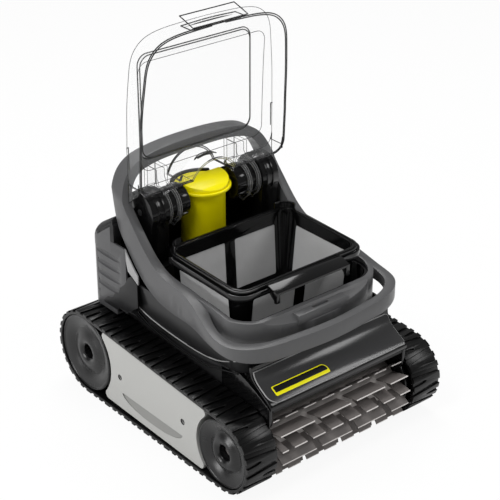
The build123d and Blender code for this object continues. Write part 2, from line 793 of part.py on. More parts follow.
def band_plan():
    """Top view of the handle and the bands, open where the bay and the finger slot are."""
    with BuildSketch() as plan:
        with BuildLine():
            span(*beside_collar((-11, 160), (2, 135), (7, 90), (8, 0), (12, -50), (20, -90), (24, -118),
                                (20, -147), (-7, -171), (-57, -182)), (0, handle_front_y))
            Line(*beside_collar((-11, 160)), *beside_collar((-11, 160), side=-1))
        make_face()
        with BuildLine():
            span((collar_inner_half_width, -60),
                 *beside_collar((2, -84), (10, -112), (6, -141), (-18, -161), (-64, -171)),
                 (0, handle_inner_y))
            Polyline((collar_inner_half_width, -60), (collar_inner_half_width, 100),
                     (-collar_inner_half_width, 100), (-collar_inner_half_width, -60))
        make_face(mode=Mode.SUBTRACT)
    return plan.sketch


def side_band():
    """Side view of the handle, the bands and the arch legs."""
    with BuildSketch() as band:
        with BuildLine():
            Spline(*band_underside)
            Line(band_underside[-1], (116, band_underside[-1][1]))
            Spline((116, 396), (115, 372), (108, 335), (99, 313), (87, 298), (67, 276), (50, 259), (20, 240),
                   (-48, 232), (-85, 220), (-112, 210), (-150, 204), (-192, 201))
            Line((band_underside[0][0], 201), band_underside[0])
        make_face()
    return band.sketch


with BuildPart() as arch_outside:
    with BuildSketch(Plane.XZ.offset(-400)):
        with BuildLine():
            span(*beside_collar((24, arch_foot_z), (10, 306), (2, 332), (-9, 350), (-26, 363), (-56, 371.5)),
                 (0, arch_top_z))
            Polyline(*beside_collar((24, arch_foot_z), (70, arch_foot_z), (70, 100)),
                     *beside_collar((70, 100), (70, arch_foot_z), (24, arch_foot_z), side=-1))
        make_face()
    extrude(amount=800)

with BuildPart() as arch_opening:
    with BuildSketch(Plane.XZ.offset(-99)):
        with BuildLine():
            span((collar_inner_half_width, 262),
                 *beside_collar((-7, 306), (-14, 329), (-27, 346), (-51, 355)),
                 (0, arch_inner_z))
            Polyline((collar_inner_half_width, 262), (collar_inner_half_width, 100),
                     (-collar_inner_half_width, 100), (-collar_inner_half_width, 262))
        make_face()
    extrude(amount=-200)

with BuildPart() as collar:
    with BuildSketch(Plane.XY.offset(frame_low_z)):
        with BuildLine():
            span(*beside_collar((-3, -100), (-10, -126), (-32, -149), (-69, -161)), (0, apron_front_y))
            Line(*beside_collar((-3, -100)), *beside_collar((-3, -100), side=-1))
        make_face()
        with Locations((0, (collar_front_y + 60) / 2)):
            RectangleRounded(2 * collar_half_width, 60 - collar_front_y, collar_corner)
        with Locations((0, (collar_inner_front_y + 100) / 2)):
            RectangleRounded(2 * collar_inner_half_width, 100 - collar_inner_front_y, collar_corner - 7,
                             mode=Mode.SUBTRACT)
    extrude(amount=frame_top_z - frame_low_z)
    with BuildSketch(side_plane(-overall_width)):
        with BuildLine():
            Polyline((-200, 100), (-200, 196), (-170, 208), (-153, 219), (-150, 223), (-120, 224.5))
            Spline((-120, 224.5), (-48, 231), (20, 240), (60, 268))
            Polyline((60, 268), (60, 100), (-200, 100))
        make_face()
    extrude(amount=2 * overall_width, mode=Mode.INTERSECT)

latch_recess_half = 45.0
latch_recess_front_y = -174.0
latch_recess_rear_y = -165.5
latch_floor_z = 207.0
latch_ledge_z = 220.5
latch_ledge_rear_y = -149.0
latch_slot_half = 14.0
latch_slot_y = -157.5
latch_slot_width = 5.2
with BuildPart() as carry_frame:
    with BuildSketch(Plane.XY.offset(100)):
        add(band_plan())
    extrude(amount=300)
    with BuildSketch(side_plane(-overall_width)):
        add(side_band())
    extrude(amount=2 * overall_width, mode=Mode.INTERSECT)
    add(arch_outside.part, mode=Mode.INTERSECT)
    add(arch_opening.part, mode=Mode.SUBTRACT)
    add(collar.part)
    # ledge with the slot for the lid's latch, and the finger recess in front of it
    with BuildSketch(Plane.XY.offset(latch_floor_z)):
        with Locations((0, (latch_recess_rear_y + latch_ledge_rear_y) / 2)):
            Rectangle(2 * latch_recess_half, latch_ledge_rear_y - latch_recess_rear_y)
    extrude(amount=latch_ledge_z - latch_floor_z)
    with BuildSketch(Plane.XY.offset(latch_floor_z)):
        with Locations((0, (latch_recess_front_y + latch_recess_rear_y) / 2)):
            Rectangle(2 * latch_recess_half, latch_recess_rear_y - latch_recess_front_y)
    extrude(amount=above_everything, mode=Mode.SUBTRACT)
    with BuildSketch(Plane.XY.offset(latch_floor_z)):
        with Locations((0, latch_slot_y)):
            Rectangle(2 * latch_slot_half, latch_slot_width)
    extrude(amount=above_everything, mode=Mode.SUBTRACT)
save(carry_frame, "carry_frame")

# ================================================================ deck, shoulders, hinge barrels
deck_thickness = 3.0
deck_front_y = bay_rear_y + 0.5
deck_rear_y = 134.0
deck_half_width = collar_inner_half_width - 0.5
deck_back_top_z = 250.0
shoulder_radius = 31.0
barrel_in_x = outlet_flange_radius + 2.0
shoulder_out_x = collar_inner_half_width - 9.0
hinge_run = shoulder_out_x - barrel_in_x
shoulder_in_x = barrel_in_x + 0.58 * hinge_run
barrel_out_x = shoulder_in_x - moving_gap
barrel_rib_count = 10
barrel_rib_height = 1.4
arm_in_x = barrel_in_x + 0.26 * hinge_run
arm_out_x = shoulder_in_x - 2.5
arm_gap = 0.5

with BuildPart() as rear_deck:
    with BuildSketch(Plane.XY.offset(deck_z - deck_thickness)):
        with Locations((0, (deck_front_y + deck_rear_y) / 2)):
            Rectangle(2 * deck_half_width, deck_rear_y - deck_front_y)
        with Locations((0, outlet_y)):
            Circle(outlet_radius + seat_gap, mode=Mode.SUBTRACT)
    extrude(amount=deck_thickness)
    with BuildSketch(Plane.XY.offset(deck_z)):
        with Locations((0, deck_rear_y - wall / 2)):
            Rectangle(2 * deck_half_width, wall)
    extrude(amount=deck_back_top_z - deck_z)
save(rear_deck, "rear_deck")

with BuildPart() as hinge_shoulder_right:
    with BuildSketch(side_plane(shoulder_in_x)):
        with Locations((hinge_y, hinge_z)):
            Circle(shoulder_radius)
        with BuildLine():
            Polyline((deck_front_y + 12, deck_z + seat_gap), (deck_rear_y - wall - 0.2, deck_z + seat_gap),
                     (deck_rear_y - wall - 0.2, hinge_z - 6), (hinge_y, hinge_z + 4),
                     (hinge_y - shoulder_radius + 2, hinge_z - 8), (deck_front_y + 12, deck_z + seat_gap))
        make_face()
        with Locations((hinge_y, hinge_z)):
            Circle(hinge_pin_radius + seat_gap, mode=Mode.SUBTRACT)
    extrude(amount=shoulder_out_x - shoulder_in_x)
    # raised ribs round the shoulder
    for low in (shoulder_in_x + hinge_run / 10, shoulder_in_x + hinge_run / 4):
        with BuildSketch(side_plane(low)):
            with Locations((hinge_y, hinge_z)):
                Circle(shoulder_radius + barrel_rib_height)
                Circle(shoulder_radius - 1, mode=Mode.SUBTRACT)
            with Locations((hinge_y, deck_z - 40)):
                Rectangle(200, 120, mode=Mode.SUBTRACT)
        extrude(amount=3)
save(hinge_shoulder_right, "hinge_shoulder_right")
save(mirrored(hinge_shoulder_right.part), "hinge_shoulder_left")

with BuildPart() as hinge_barrel_right:
    with BuildSketch(side_plane(barrel_in_x)):
        with Locations((hinge_y, hinge_z)):
            Circle(barrel_radius)
            Circle(hinge_pin_radius + seat_gap, mode=Mode.SUBTRACT)
    extrude(amount=barrel_out_x - barrel_in_x)
    with BuildSketch(side_plane(barrel_in_x + 2)):
        with Locations((hinge_y, hinge_z)):
            with PolarLocations(barrel_radius, barrel_rib_count):
                Rectangle(2 * barrel_rib_height, 5)
    extrude(amount=arm_in_x - 1.5 - barrel_in_x - 2)
save(hinge_barrel_right, "hinge_barrel_right")
save(mirrored(hinge_barrel_right.part), "hinge_barrel_left")

with BuildPart() as hinge_pins:
    for side in (-1, 1):
        with BuildSketch(side_plane(side * (barrel_in_x + 0.5))):
            with Locations((hinge_y, hinge_z)):
                Circle(hinge_pin_radius)
        extrude(amount=side * (shoulder_out_x - barrel_in_x - 1))
save(hinge_pins, "hinge_pins")

# ================================================================ outlet, impeller, pump motor
outlet_wall = 2.4
outlet_low_z = 196.0
flange_thickness = 3.5
scoop_radius = 38.0
scoop_ridge_y = outlet_y + 8.0
scoop_ridge_z = outlet_flange_z + flange_thickness + 12.0
with BuildPart() as outlet_tube:
    with BuildSketch(Plane.XY.offset(outlet_low_z)):
        with Locations((0, outlet_y)):
            Circle(outlet_radius)
    extrude(amount=outlet_flange_z - outlet_low_z)
    with BuildSketch(Plane.XY.offset(outlet_flange_z)):
        with Locations((0, outlet_y)):
            Circle(outlet_flange_radius)
    extrude(amount=flange_thickness)
    fillet(outlet_tube.faces().sort_by(Axis.Z)[-1].edges(), 1.2)
    with BuildSketch(Plane.XY.offset(outlet_low_z)):
        with Locations((0, outlet_y)):
            Circle(outlet_radius - outlet_wall)
    extrude(amount=outlet_flange_z, mode=Mode.SUBTRACT)
save(outlet_tube, "outlet_tube")


def scoop_block(inset):
    """Half dome that leans up to a straight ridge."""
    base_z = outlet_flange_z + flange_thickness + seat_gap
    with BuildPart() as block:
        with BuildSketch(Plane.XY.offset(base_z)):
            with Locations((0, outlet_y)):
                Circle(scoop_radius - inset)
        extrude(amount=40)
        with BuildSketch(side_plane(-60)):
            front_y = outlet_y - scoop_radius
            Polygon((front_y - 1 + inset, base_z), (front_y - 1 + inset, base_z + 2.5),
                    (front_y + 9, base_z + 6.5 - inset), (scoop_ridge_y, scoop_ridge_z - inset),
                    (scoop_ridge_y + inset, base_z), align=None)
        extrude(amount=120, mode=Mode.INTERSECT)
    return block


with BuildPart() as outlet_scoop:
    add(scoop_block(0).part)
    add(scoop_block(outlet_wall).part, mode=Mode.SUBTRACT)
save(outlet_scoop, "outlet_scoop")

impeller_radius = outlet_radius - outlet_wall - 1.2
impeller_low_z = 206.0
impeller_height = 14.0
impeller_blades = 5
hub_of_impeller = 9.0
pump_shaft_radius = 3.0
pump_motor_top_z = 196.0
pump_motor_radius = 24.0
with BuildPart() as impeller:
    with BuildSketch(Plane.XY.offset(impeller_low_z)):
        with Locations((0, outlet_y)):
            Circle(hub_of_impeller)
            Circle(pump_shaft_radius, mode=Mode.SUBTRACT)
    extrude(amount=impeller_height)
    for blade in range(impeller_blades):
        turn = blade * 360 / impeller_blades
        with BuildSketch(Plane(origin=(0, outlet_y, impeller_low_z + impeller_height / 2),
                               x_dir=(cos(radians(turn + 90)), sin(radians(turn + 90)), 0),
                               z_dir=(cos(radians(turn)), sin(radians(turn)), 0)).offset(hub_of_impeller - 1)):
            Rectangle(2.2, impeller_height * 1.25, rotation=38)
        extrude(amount=impeller_radius - hub_of_impeller - 1)
save(impeller, "impeller")

with BuildPart() as impeller_shaft:
    with BuildSketch(Plane.XY.offset(pump_motor_top_z - 14)):
        with Locations((0, outlet_y)):
            Circle(pump_shaft_radius - seat_gap)
    extrude(amount=impeller_low_z + impeller_height - pump_motor_top_z + 14)
save(impeller_shaft, "impeller_shaft")

with BuildPart() as pump_motor:
    with BuildSketch(Plane.XY.offset(bay_floor_z + seat_gap)):
        with Locations((0, outlet_y)):
            Circle(pump_motor_radius)
    extrude(amount=pump_motor_top_z - bay_floor_z - seat_gap)
    fillet(pump_motor.faces().sort_by(Axis.Z)[-1].edges(), 3)
    with BuildSketch(Plane.XY.offset(bay_floor_z + seat_gap)):
        with Locations((0, outlet_y)):
            RectangleRounded(70, 62, 8)
    extrude(amount=5)
    with BuildSketch(Plane.XY.offset(pump_motor_top_z)):
        with Locations((0, outlet_y)):
            Circle(pump_shaft_radius - seat_gap + running_gap)
    extrude(amount=-15, mode=Mode.SUBTRACT)
save(pump_motor, "pump_motor")

# ================================================================ battery and control box
with BuildPart() as battery_pack:
    with BuildSketch(Plane.XY.offset(tub_floor_z + wall + seat_gap)):
        with Locations((0, 32)):
            RectangleRounded(168, 78, 5)
    extrude(amount=56)
    fillet(battery_pack.faces().sort_by(Axis.Z)[-1].edges(), 3)
save(battery_pack, "battery_pack")

with BuildPart() as control_box:
    with BuildSketch(Plane.XY.offset(tub_floor_z + wall + 56 + 2 * seat_gap)):
        with Locations((0, 32)):
            RectangleRounded(120, 64, 6)
    extrude(amount=26)
    fillet(control_box.faces().sort_by(Axis.Z)[-1].edges(), 2)
save(control_box, "control_box")

# ================================================================ rear housing, its cap, the power button
housing_half_width = collar_half_width + 4 * wall
housing_front_y = 92.5
housing_rear_y = 182.5
housing_low_z = 134.5
housing_top_z = 249.5
housing_corner = 22.0
flute_count = 4
cap_crest_y = 123.5
cap_crest_z = 289.0
cap_front_y = 119.5
swing_radius = 35.0
yoke_inner_radius = outlet_flange_radius + 2.0
yoke_outer_radius = yoke_inner_radius + 4.0
yoke_top_z = 312.0
band_clearance = 0.5
button_radius = 9.0
button_flange_radius = 11.0
button_x = -60.0
button_z = 219.0
button_well_y = 169.0


def housing_plan(inset):
    with BuildSketch() as plan:
        with Locations((0, housing_rear_y - 100)):
            RectangleRounded(2 * (housing_half_width - inset), 2 * (100 - inset), housing_corner - inset)
        with Locations((0, housing_front_y - 100)):
            Rectangle(400, 200, mode=Mode.SUBTRACT)
    return plan.sketch


with BuildPart() as rear_housing:
    with BuildSketch(Plane.XY.offset(housing_low_z)):
        add(housing_plan(0))
        add(housing_plan(wall), mode=Mode.SUBTRACT)
    extrude(amount=housing_top_z - housing_low_z)
    with BuildSketch(Plane.XY.offset(housing_low_z)):
        add(housing_plan(0))
    extrude(amount=wall)
    add(shell_body(-seat_gap).part, mode=Mode.SUBTRACT)
    # well and hole of the power button
    with BuildSketch(Plane.XZ.offset(-button_well_y)):
        with Locations((button_x, button_z)):
            Circle(button_flange_radius + moving_gap + 2.5)
    extrude(amount=button_well_y - housing_rear_y + 1)
    with BuildSketch(Plane.XZ.offset(-button_well_y - 2)):
        with Locations((button_x, button_z)):
            Circle(button_flange_radius + moving_gap)
    extrude(amount=button_well_y + 2 - housing_rear_y + wall, mode=Mode.SUBTRACT)
    with BuildSketch(Plane.XZ.offset(-housing_rear_y - 1)):
        with Locations((button_x, button_z)):
            Circle(button_radius + moving_gap)
    extrude(amount=wall + 2, mode=Mode.SUBTRACT)
    # slanting flutes pressed into both flanks
    for side in (-1, 1):
        with BuildSketch(side_plane(side * housing_half_width)):
            for flute in range(flute_count):
                with Locations(Location((136, 168 + 17 * flute, 0), (0, 0, -22))):
                    SlotOverall(56, 5)
        extrude(amount=-side * 1.2, mode=Mode.SUBTRACT)
    # under the arch the flank's front edge follows the band
    add(above_bands(band_clearance).part, mode=Mode.SUBTRACT)
save(rear_housing, "rear_housing")


def cap_block(inset):
    """Wedge that falls from its crest behind the hinge to the rear face."""
    low_z = housing_top_z + seat_gap
    with BuildPart() as block:
        with BuildSketch(side_plane(-housing_half_width)):
            Polygon((cap_front_y + inset, low_z), (housing_rear_y - inset, low_z),
                    (housing_rear_y - inset, low_z + 2), (cap_crest_y + inset / 2, cap_crest_z - inset),
                    (cap_front_y + inset, cap_crest_z - inset), align=None)
        extrude(amount=2 * housing_half_width)
        with BuildSketch(Plane.XY.offset(low_z)):
            add(housing_plan(inset))
        extrude(amount=200, mode=Mode.INTERSECT)
    return block


with BuildPart() as rear_cap:
    add(cap_block(0).part)
    add(cap_block(wall).part, mode=Mode.SUBTRACT)
    # yoke behind the jet outlet
    with BuildSketch(Plane.XY.offset(housing_top_z + 10)):
        with Locations((0, outlet_y)):
            Circle(yoke_outer_radius)
            Circle(yoke_inner_radius, mode=Mode.SUBTRACT)
        with Locations((0, outlet_y - 50)):
            Rectangle(200, 100 + 12, mode=Mode.SUBTRACT)
    extrude(amount=yoke_top_z - housing_top_z - 10)
    # room for the outlet tube, the barrels, the turning arms and the shoulders
    with BuildSketch(Plane.XY.offset(200)):
        with Locations((0, outlet_y)):
            Circle(outlet_radius + moving_gap)
    extrude(amount=200, mode=Mode.SUBTRACT)
    for side in (-1, 1):
        with BuildSketch(side_plane(side * (barrel_in_x - 0.2))):
            with Locations((hinge_y, hinge_z)):
                Circle(swing_radius)
        extrude(amount=side * 150, mode=Mode.SUBTRACT)
        with BuildSketch(Plane.XY.offset(200)):
            with Locations((side * (shoulder_in_x + shoulder_out_x) / 2, hinge_y)):
                Rectangle(shoulder_out_x - shoulder_in_x + 0.6, 2 * (deck_rear_y - wall - hinge_y))
        extrude(amount=200, mode=Mode.SUBTRACT)
    add(above_bands(band_clearance).part, mode=Mode.SUBTRACT)
    with BuildSketch(side_plane(-overall_width)):
        with Locations((deck_rear_y - 50, deck_back_top_z - 20)):
            Rectangle(100.4, 40.1)
    extrude(amount=2 * overall_width, mode=Mode.SUBTRACT)
save(rear_cap, "rear_cap")

with BuildPart() as power_button:
    with BuildSketch(Plane.XZ.offset(-housing_rear_y - 3)):
        with Locations((button_x, button_z)):
            Circle(button_radius)
    extrude(amount=3 + wall + moving_gap + 0.5)
    fillet(power_button.faces().sort_by(Axis.Y)[-1].edges(), 1)
    with BuildSketch(Plane.XZ.offset(-housing_rear_y + wall + moving_gap)):
        with Locations((button_x, button_z)):
            Circle(button_flange_radius)
    extrude(amount=2)
save(power_button, "power_button")

# ================================================================ filter basket
basket_middle_y = (basket_front_y + basket_rear_y) / 2
basket_body_half = basket_half_width - 6.5
basket_body_length = basket_rear_y - basket_front_y - 11.6
basket_corner = 20.0
basket_wall = 2.2
basket_floor_z = 148.0
window_top = 22.0
window_foot = 12.0
window_post = 9.0            # half of the post between two windows
window_corner = 26.0         # from a corner of the basket to its first window
mesh_thickness = 0.8
rim_width = 2.3
bail_in_x = basket_half_width - 3.9
bail_hinge_y = 20.0
bail_hinge_drop = 11.0
bail_pin_radius = 3.0
bail_low = 14.0
bail_high = 6.0
grip_half_width = 66.0
grip_front_y = basket_front_y - 18.0
flap_ear_x = 60.5
flap_barrel_radius = 2.6
flap_pin_radius = 1.5
flap_hinge_y = duct_y + 19.0
flap_hinge_z = basket_floor_z + basket_wall + flap_barrel_radius + moving_gap


def basket_plane(drop):
    """Plane parallel to the basket's rim, drop below it."""
    slope = radians(basket_tilt)
    upwards = (0, -sin(slope), cos(slope))
    rim = Plane(origin=(0, basket_middle_y, basket_rim_z), x_dir=(1, 0, 0), z_dir=upwards)
    return rim.offset(-drop)


def rim_height(y):
    return basket_rim_z + (y - basket_middle_y) * tan(radians(basket_tilt))


def basket_block(inset, low_z):
    """Tapering block of the basket's outside, flat at low_z."""
    with BuildPart() as block:
        with BuildSketch(basket_plane(0)):
            RectangleRounded(2 * (basket_body_half - inset), basket_body_length - 2 * inset,
                             basket_corner - inset)
        extrude(amount=-(basket_depth + 15), taper=basket_draft)
        with BuildSketch(Plane.XY.offset(low_z)):
            Rectangle(400, 400)
        extrude(amount=-100, mode=Mode.SUBTRACT)
    return block


def end_windows(trim):
    """Through blocks of the two front and two rear mesh windows."""
    low_z = basket_floor_z + window_foot + trim
    high_z = basket_rim_z - window_top - trim
    outer_x = basket_body_half - window_corner
    with BuildPart() as cutters:
        with BuildSketch(Plane.XZ.offset(-200)):
            for side in (-1, 1):
                with Locations((side * (outer_x + window_post) / 2, (low_z + high_z) / 2)):
                    RectangleRounded(outer_x - window_post - 2 * trim, high_z - low_z, 3)
        extrude(amount=400)
    return cutters


def side_windows(trim):
    """Through block of the two side windows."""
    low_z = basket_floor_z + window_foot + trim
    high_z = basket_rim_z - window_top - trim
    with BuildPart() as cutter:
        with BuildSketch(side_plane(-200)):
            with Locations((basket_middle_y, (low_z + high_z) / 2)):
                RectangleRounded(basket_body_length - 2 * window_corner - 2 * trim, high_z - low_z, 3)
        extrude(amount=400)
    return cutter


def mesh_skin():
    """Thin layer in the middle of the basket's wall."""
    with BuildPart() as skin:
        add(basket_block(basket_wall / 2 - mesh_thickness / 2, basket_floor_z).part)
        add(basket_block(basket_wall / 2 + mesh_thickness / 2, basket_floor_z - 1).part, mode=Mode.SUBTRACT)
    return skin


def corner_patch():
    """The two rear corners of the rim, seen from above."""
    with BuildSketch() as patch:
        for side in (-1, 1):
            with Locations((side * (basket_body_half - 10), basket_body_length / 2 - 8)):
                Rectangle(30, 24)
    return patch.sketch


with BuildPart() as basket_frame:
    add(basket_block(0, basket_floor_z).part)
    add(basket_block(basket_wall, basket_floor_z + basket_wall).part, mode=Mode.SUBTRACT)
    add(end_windows(0).part, mode=Mode.SUBTRACT)
    add(side_windows(0).part, mode=Mode.SUBTRACT)
    # rolled rim round the mouth
    with BuildSketch(basket_plane(5.5)):
        RectangleRounded(2 * (basket_body_half + rim_width), basket_body_length + 2 * rim_width,
                         basket_corner + rim_width)
        RectangleRounded(2 * (basket_body_half - 5), basket_body_length - 10, basket_corner - 5,
                         mode=Mode.SUBTRACT)
    extrude(amount=4)
    # raised corners at the rear
    with BuildSketch(basket_plane(2)):
        RectangleRounded(2 * basket_body_half, basket_body_length, basket_corner)
        RectangleRounded(2 * basket_body_half - 4.4, basket_body_length - 4.4, basket_corner - 2.2,
                         mode=Mode.SUBTRACT)
        add(corner_patch(), mode=Mode.INTERSECT)
    extrude(amount=11)
    with BuildSketch(Plane.XY.offset(basket_floor_z)):
        with Locations((0, basket_middle_y)):
            RectangleRounded(2 * basket_body_half - 30, basket_body_length - 30, 12)
        with Locations((0, duct_y)):
            Rectangle(116, 27, mode=Mode.SUBTRACT)
    extrude(amount=basket_wall)
    # pins of the carrying bail
    with BuildSketch(side_plane(-basket_half_width + 0.2)):
        with Locations((bail_hinge_y, rim_height(bail_hinge_y) - bail_hinge_drop)):
            Circle(bail_pin_radius)
    extrude(amount=8)
    with BuildSketch(side_plane(basket_half_width - 0.2)):
        with Locations((bail_hinge_y, rim_height(bail_hinge_y) - bail_hinge_drop)):
            Circle(bail_pin_radius)
    extrude(amount=-8)
    # feet on the floor of the bay
    with BuildSketch(Plane.XY.offset(bay_floor_z + moving_gap)):
        with Locations((0, basket_middle_y)):
            with GridLocations(164, 128, 2, 2):
                RectangleRounded(12, 12, 2)
    extrude(amount=basket_floor_z - bay_floor_z)
    # ears of the flap's hinge
    for side in (-1, 1):
        with BuildSketch(side_plane(side * flap_ear_x)):
            with Locations((flap_hinge_y, flap_hinge_z - 1.5)):
                Rectangle(8, 9)
            with Locations((flap_hinge_y, flap_hinge_z)):
                Circle(flap_pin_radius + running_gap, mode=Mode.SUBTRACT)
        extrude(amount=side * 4)
save(basket_frame, "basket_frame")

with BuildPart() as end_mesh:
    add(mesh_skin().part)
    add(end_windows(seat_gap).part, mode=Mode.INTERSECT)

with BuildPart() as basket_mesh:
    add(mesh_skin().part)
    add(side_windows(seat_gap).part, mode=Mode.INTERSECT)
    add(end_mesh.part)
save(basket_mesh, "basket_mesh")

with BuildPart() as intake_flap:
    with BuildSketch(Plane.XY.offset(basket_floor_z + basket_wall + moving_gap)):
        with Locations((0, duct_y + 2)):
            RectangleRounded(2 * (flap_ear_x - 1), 36, 3)
    extrude(amount=1.5)
    with BuildSketch(side_plane(-flap_ear_x + moving_gap)):
        with Locations((flap_hinge_y, flap_hinge_z)):
            Circle(flap_barrel_radius)
    extrude(amount=2 * (flap_ear_x - moving_gap))
    with BuildSketch(side_plane(-flap_ear_x - 3.5)):
        with Locations((flap_hinge_y, flap_hinge_z)):
            Circle(flap_pin_radius)
    extrude(amount=2 * (flap_ear_x + 3.5))
save(intake_flap, "intake_flap")

with BuildPart() as basket_handle:
    with BuildSketch(basket_plane(bail_low)):
        RectangleRounded(2 * basket_half_width, basket_rear_y - basket_front_y, basket_corner + 6)
        RectangleRounded(2 * bail_in_x, basket_rear_y - basket_front_y - 6.4, basket_corner + 2.5,
                         mode=Mode.SUBTRACT)
        with Locations((0, bail_hinge_y - basket_middle_y + 60)):
            Rectangle(300, 120, mode=Mode.SUBTRACT)
    extrude(amount=bail_low - bail_high)
    # eyes round the basket's pins
    for side in (-1, 1):
        with BuildSketch(side_plane(side * bail_in_x)):
            with Locations((bail_hinge_y, rim_height(bail_hinge_y) - bail_hinge_drop)):
                Circle(bail_pin_radius + 3.5)
        extrude(amount=side * (basket_half_width - bail_in_x))
        with BuildSketch(side_plane(side * (bail_in_x - 1))):
            with Locations((bail_hinge_y, rim_height(bail_hinge_y) - bail_hinge_drop)):
                Circle(bail_pin_radius + running_gap)
        extrude(amount=side * (basket_half_width - bail_in_x + 2), mode=Mode.SUBTRACT)
    # grip plate in front, with a hook at either end
    with BuildSketch(side_plane(-grip_half_width)):
        Polygon((basket_front_y + 2.8, 258), (basket_front_y - 3, 257.5), (grip_front_y, 252.5),
                (grip_front_y, 249.5), (basket_front_y - 3, 254), (basket_front_y + 2.8, 250), align=None)
    extrude(amount=2 * grip_half_width)
    for side in (-1, 1):
        with BuildSketch(side_plane(side * grip_half_width)):
            Polygon((grip_front_y, 252.5), (grip_front_y, 237), (grip_front_y + 5, 236), (grip_front_y + 6, 240),
                    (basket_front_y - 3, 247), (basket_front_y - 3, 256), align=None)
        extrude(amount=-side * 6)
save(basket_handle, "basket_handle")

# ================================================================ clear lid and its arms
lid_low_z = 333.0
lid_corner = 20.0
lid_back = [(96.4, lid_low_z), (96.4, 366), (95.5, 438), (93.5, 505), (89.5, 568)]
lid_rim = [(69.5, lid_low_z), (66.2, 400), (63.4, 450), (58.6, 505), (55.5, 568)]
lid_half_width = body_half_width + 5.0
lid_shoulder_z = 400.0       # below it both sides of the lid are straight
lid_top_z = 561.3
# the bend over the top, as (share of the half width, height over the shoulder)
lid_bend = [(1.0, 0), (0.988, 55), (0.958, 103), (0.904, 134), (0.785, 150), (0.608, 157.5),
            (0.338, 160.3), (0, lid_top_z - lid_shoulder_z)]
panel_face_y = 109.0         # outside of the raised panel
panel_face_half = 99.0
panel_face_zs = (367.0, 522.0)
panel_root_y = 90.0
panel_root_half = 114.5
panel_root_zs = (351.0, 520.5)
panel_corner_radius = 16.0
ear_low_z = 317.0
notch_radius = 45.0
notch_z = 313.0
notch_rim_y = 124.0          # how far the rim of the notch stands out behind
tab_half_width = 47.0
nub_half_width = 12.0


def lid_outline(inset):
    """Front view of the lid, one big smooth bend over its top, smaller by inset all round."""
    side_x = lid_half_width - inset
    low_z = lid_low_z + inset
    corner = lid_corner - inset
    rise = (lid_top_z - inset - lid_shoulder_z) / (lid_top_z - lid_shoulder_z)
    bend = [(side_x * part_x, lid_shoulder_z + rise * height) for part_x, height in lid_bend]
    with BuildSketch() as outline:
        with BuildLine():
            span(*bend)
            Line((side_x, lid_shoulder_z), (side_x, low_z + corner))
            RadiusArc((side_x, low_z + corner), (side_x - corner, low_z), corner)
            Line((side_x - corner, low_z), (corner - side_x, low_z))
            RadiusArc((corner - side_x, low_z), (-side_x, low_z + corner), corner)
            Line((-side_x, low_z + corner), (-side_x, lid_shoulder_z))
        make_face()
    return outline.sketch


def lid_depth(shift):
    """Block between the lid's rim and its back, seen from the side, moved by shift."""
    with BuildPart() as depth:
        with BuildSketch(Plane(origin=(-overall_width, shift, 0), x_dir=(0, 1, 0), z_dir=(1, 0, 0))):
            with BuildLine():
                Spline(*lid_back)
                Line(lid_back[-1], lid_rim[-1])
                Spline(*reversed(lid_rim))
                Line(lid_rim[0], lid_back[0])
            make_face()
        extrude(amount=2 * overall_width)
    return depth


def raised_panel(inset):
    """Sloping sided box that stands out behind the lid, smaller by inset all round."""
    with BuildPart() as panel:
        for y, half, (low_z, high_z) in ((panel_root_y, panel_root_half, panel_root_zs),
                                         (panel_face_y - inset, panel_face_half, panel_face_zs)):
            with BuildSketch(Plane.XZ.offset(-y)):
                with Locations((0, (low_z + high_z) / 2)):
                    RectangleRounded(2 * (half - inset), high_z - low_z - 2 * inset, panel_corner_radius)
        loft()
    return panel


with BuildPart() as lid_hollow:
    with BuildSketch(Plane.XZ.offset(-panel_face_y - 10)):
        add(lid_outline(thin_wall))
    extrude(amount=80)
    add(lid_depth(-thin_wall).part, mode=Mode.INTERSECT)
    # the wall of the notch stays
    with BuildSketch(Plane.XZ):
        with Locations((0, notch_z)):
            Circle(notch_radius)
    extrude(amount=-2 * panel_face_y, mode=Mode.SUBTRACT)

with BuildPart() as lid:
    with BuildSketch(Plane.XZ.offset(-panel_face_y - 10)):
        add(lid_outline(0))
    extrude(amount=80)
    add(lid_depth(0).part, mode=Mode.INTERSECT)
    add(raised_panel(0).part)
    add(lid_hollow.part, mode=Mode.SUBTRACT)
    add(raised_panel(thin_wall).part, mode=Mode.SUBTRACT)
    # the notch goes round the jet outlet, and its rim stands out behind
    with BuildSketch(Plane.XZ.offset(-notch_rim_y)):
        with Locations((0, notch_z)):
            Circle(notch_radius)
        with Locations((0, notch_z + 13 - 50)):
            Rectangle(4 * notch_radius, 100, mode=Mode.SUBTRACT)
    extrude(amount=notch_rim_y - lid_back[0][0] + thin_wall)
    with BuildSketch(Plane.XZ):
        with Locations((0, notch_z)):
            Circle(notch_radius - thin_wall)
    extrude(amount=-2 * panel_face_y, mode=Mode.SUBTRACT)
    # thin ears carry both sides down beside the hinge
    for side in (-1, 1):
        with BuildSketch(side_plane(side * lid_half_width)):
            Polygon((lid_rim[0][0] + 3, lid_low_z + 4), (lid_back[0][0], ear_low_z),
                    (lid_back[0][0], lid_shoulder_z), (lid_rim[0][0] + 3, lid_shoulder_z), align=None)
        extrude(amount=-side * thin_wall)
    # finger tab and latch nub
    with BuildSketch(side_plane(-tab_half_width)):
        Polygon((60, 558), (51.5, 564), (66, 569), (81, 573.5), (85, 569), (77, 558), align=None)
    extrude(amount=2 * tab_half_width)
    with BuildSketch(side_plane(-nub_half_width)):
        Polygon((42, 556.8), (60, 557.5), (60, 560.5), (42, 559.8), align=None)
    extrude(amount=2 * nub_half_width)
save(lid, "lid")

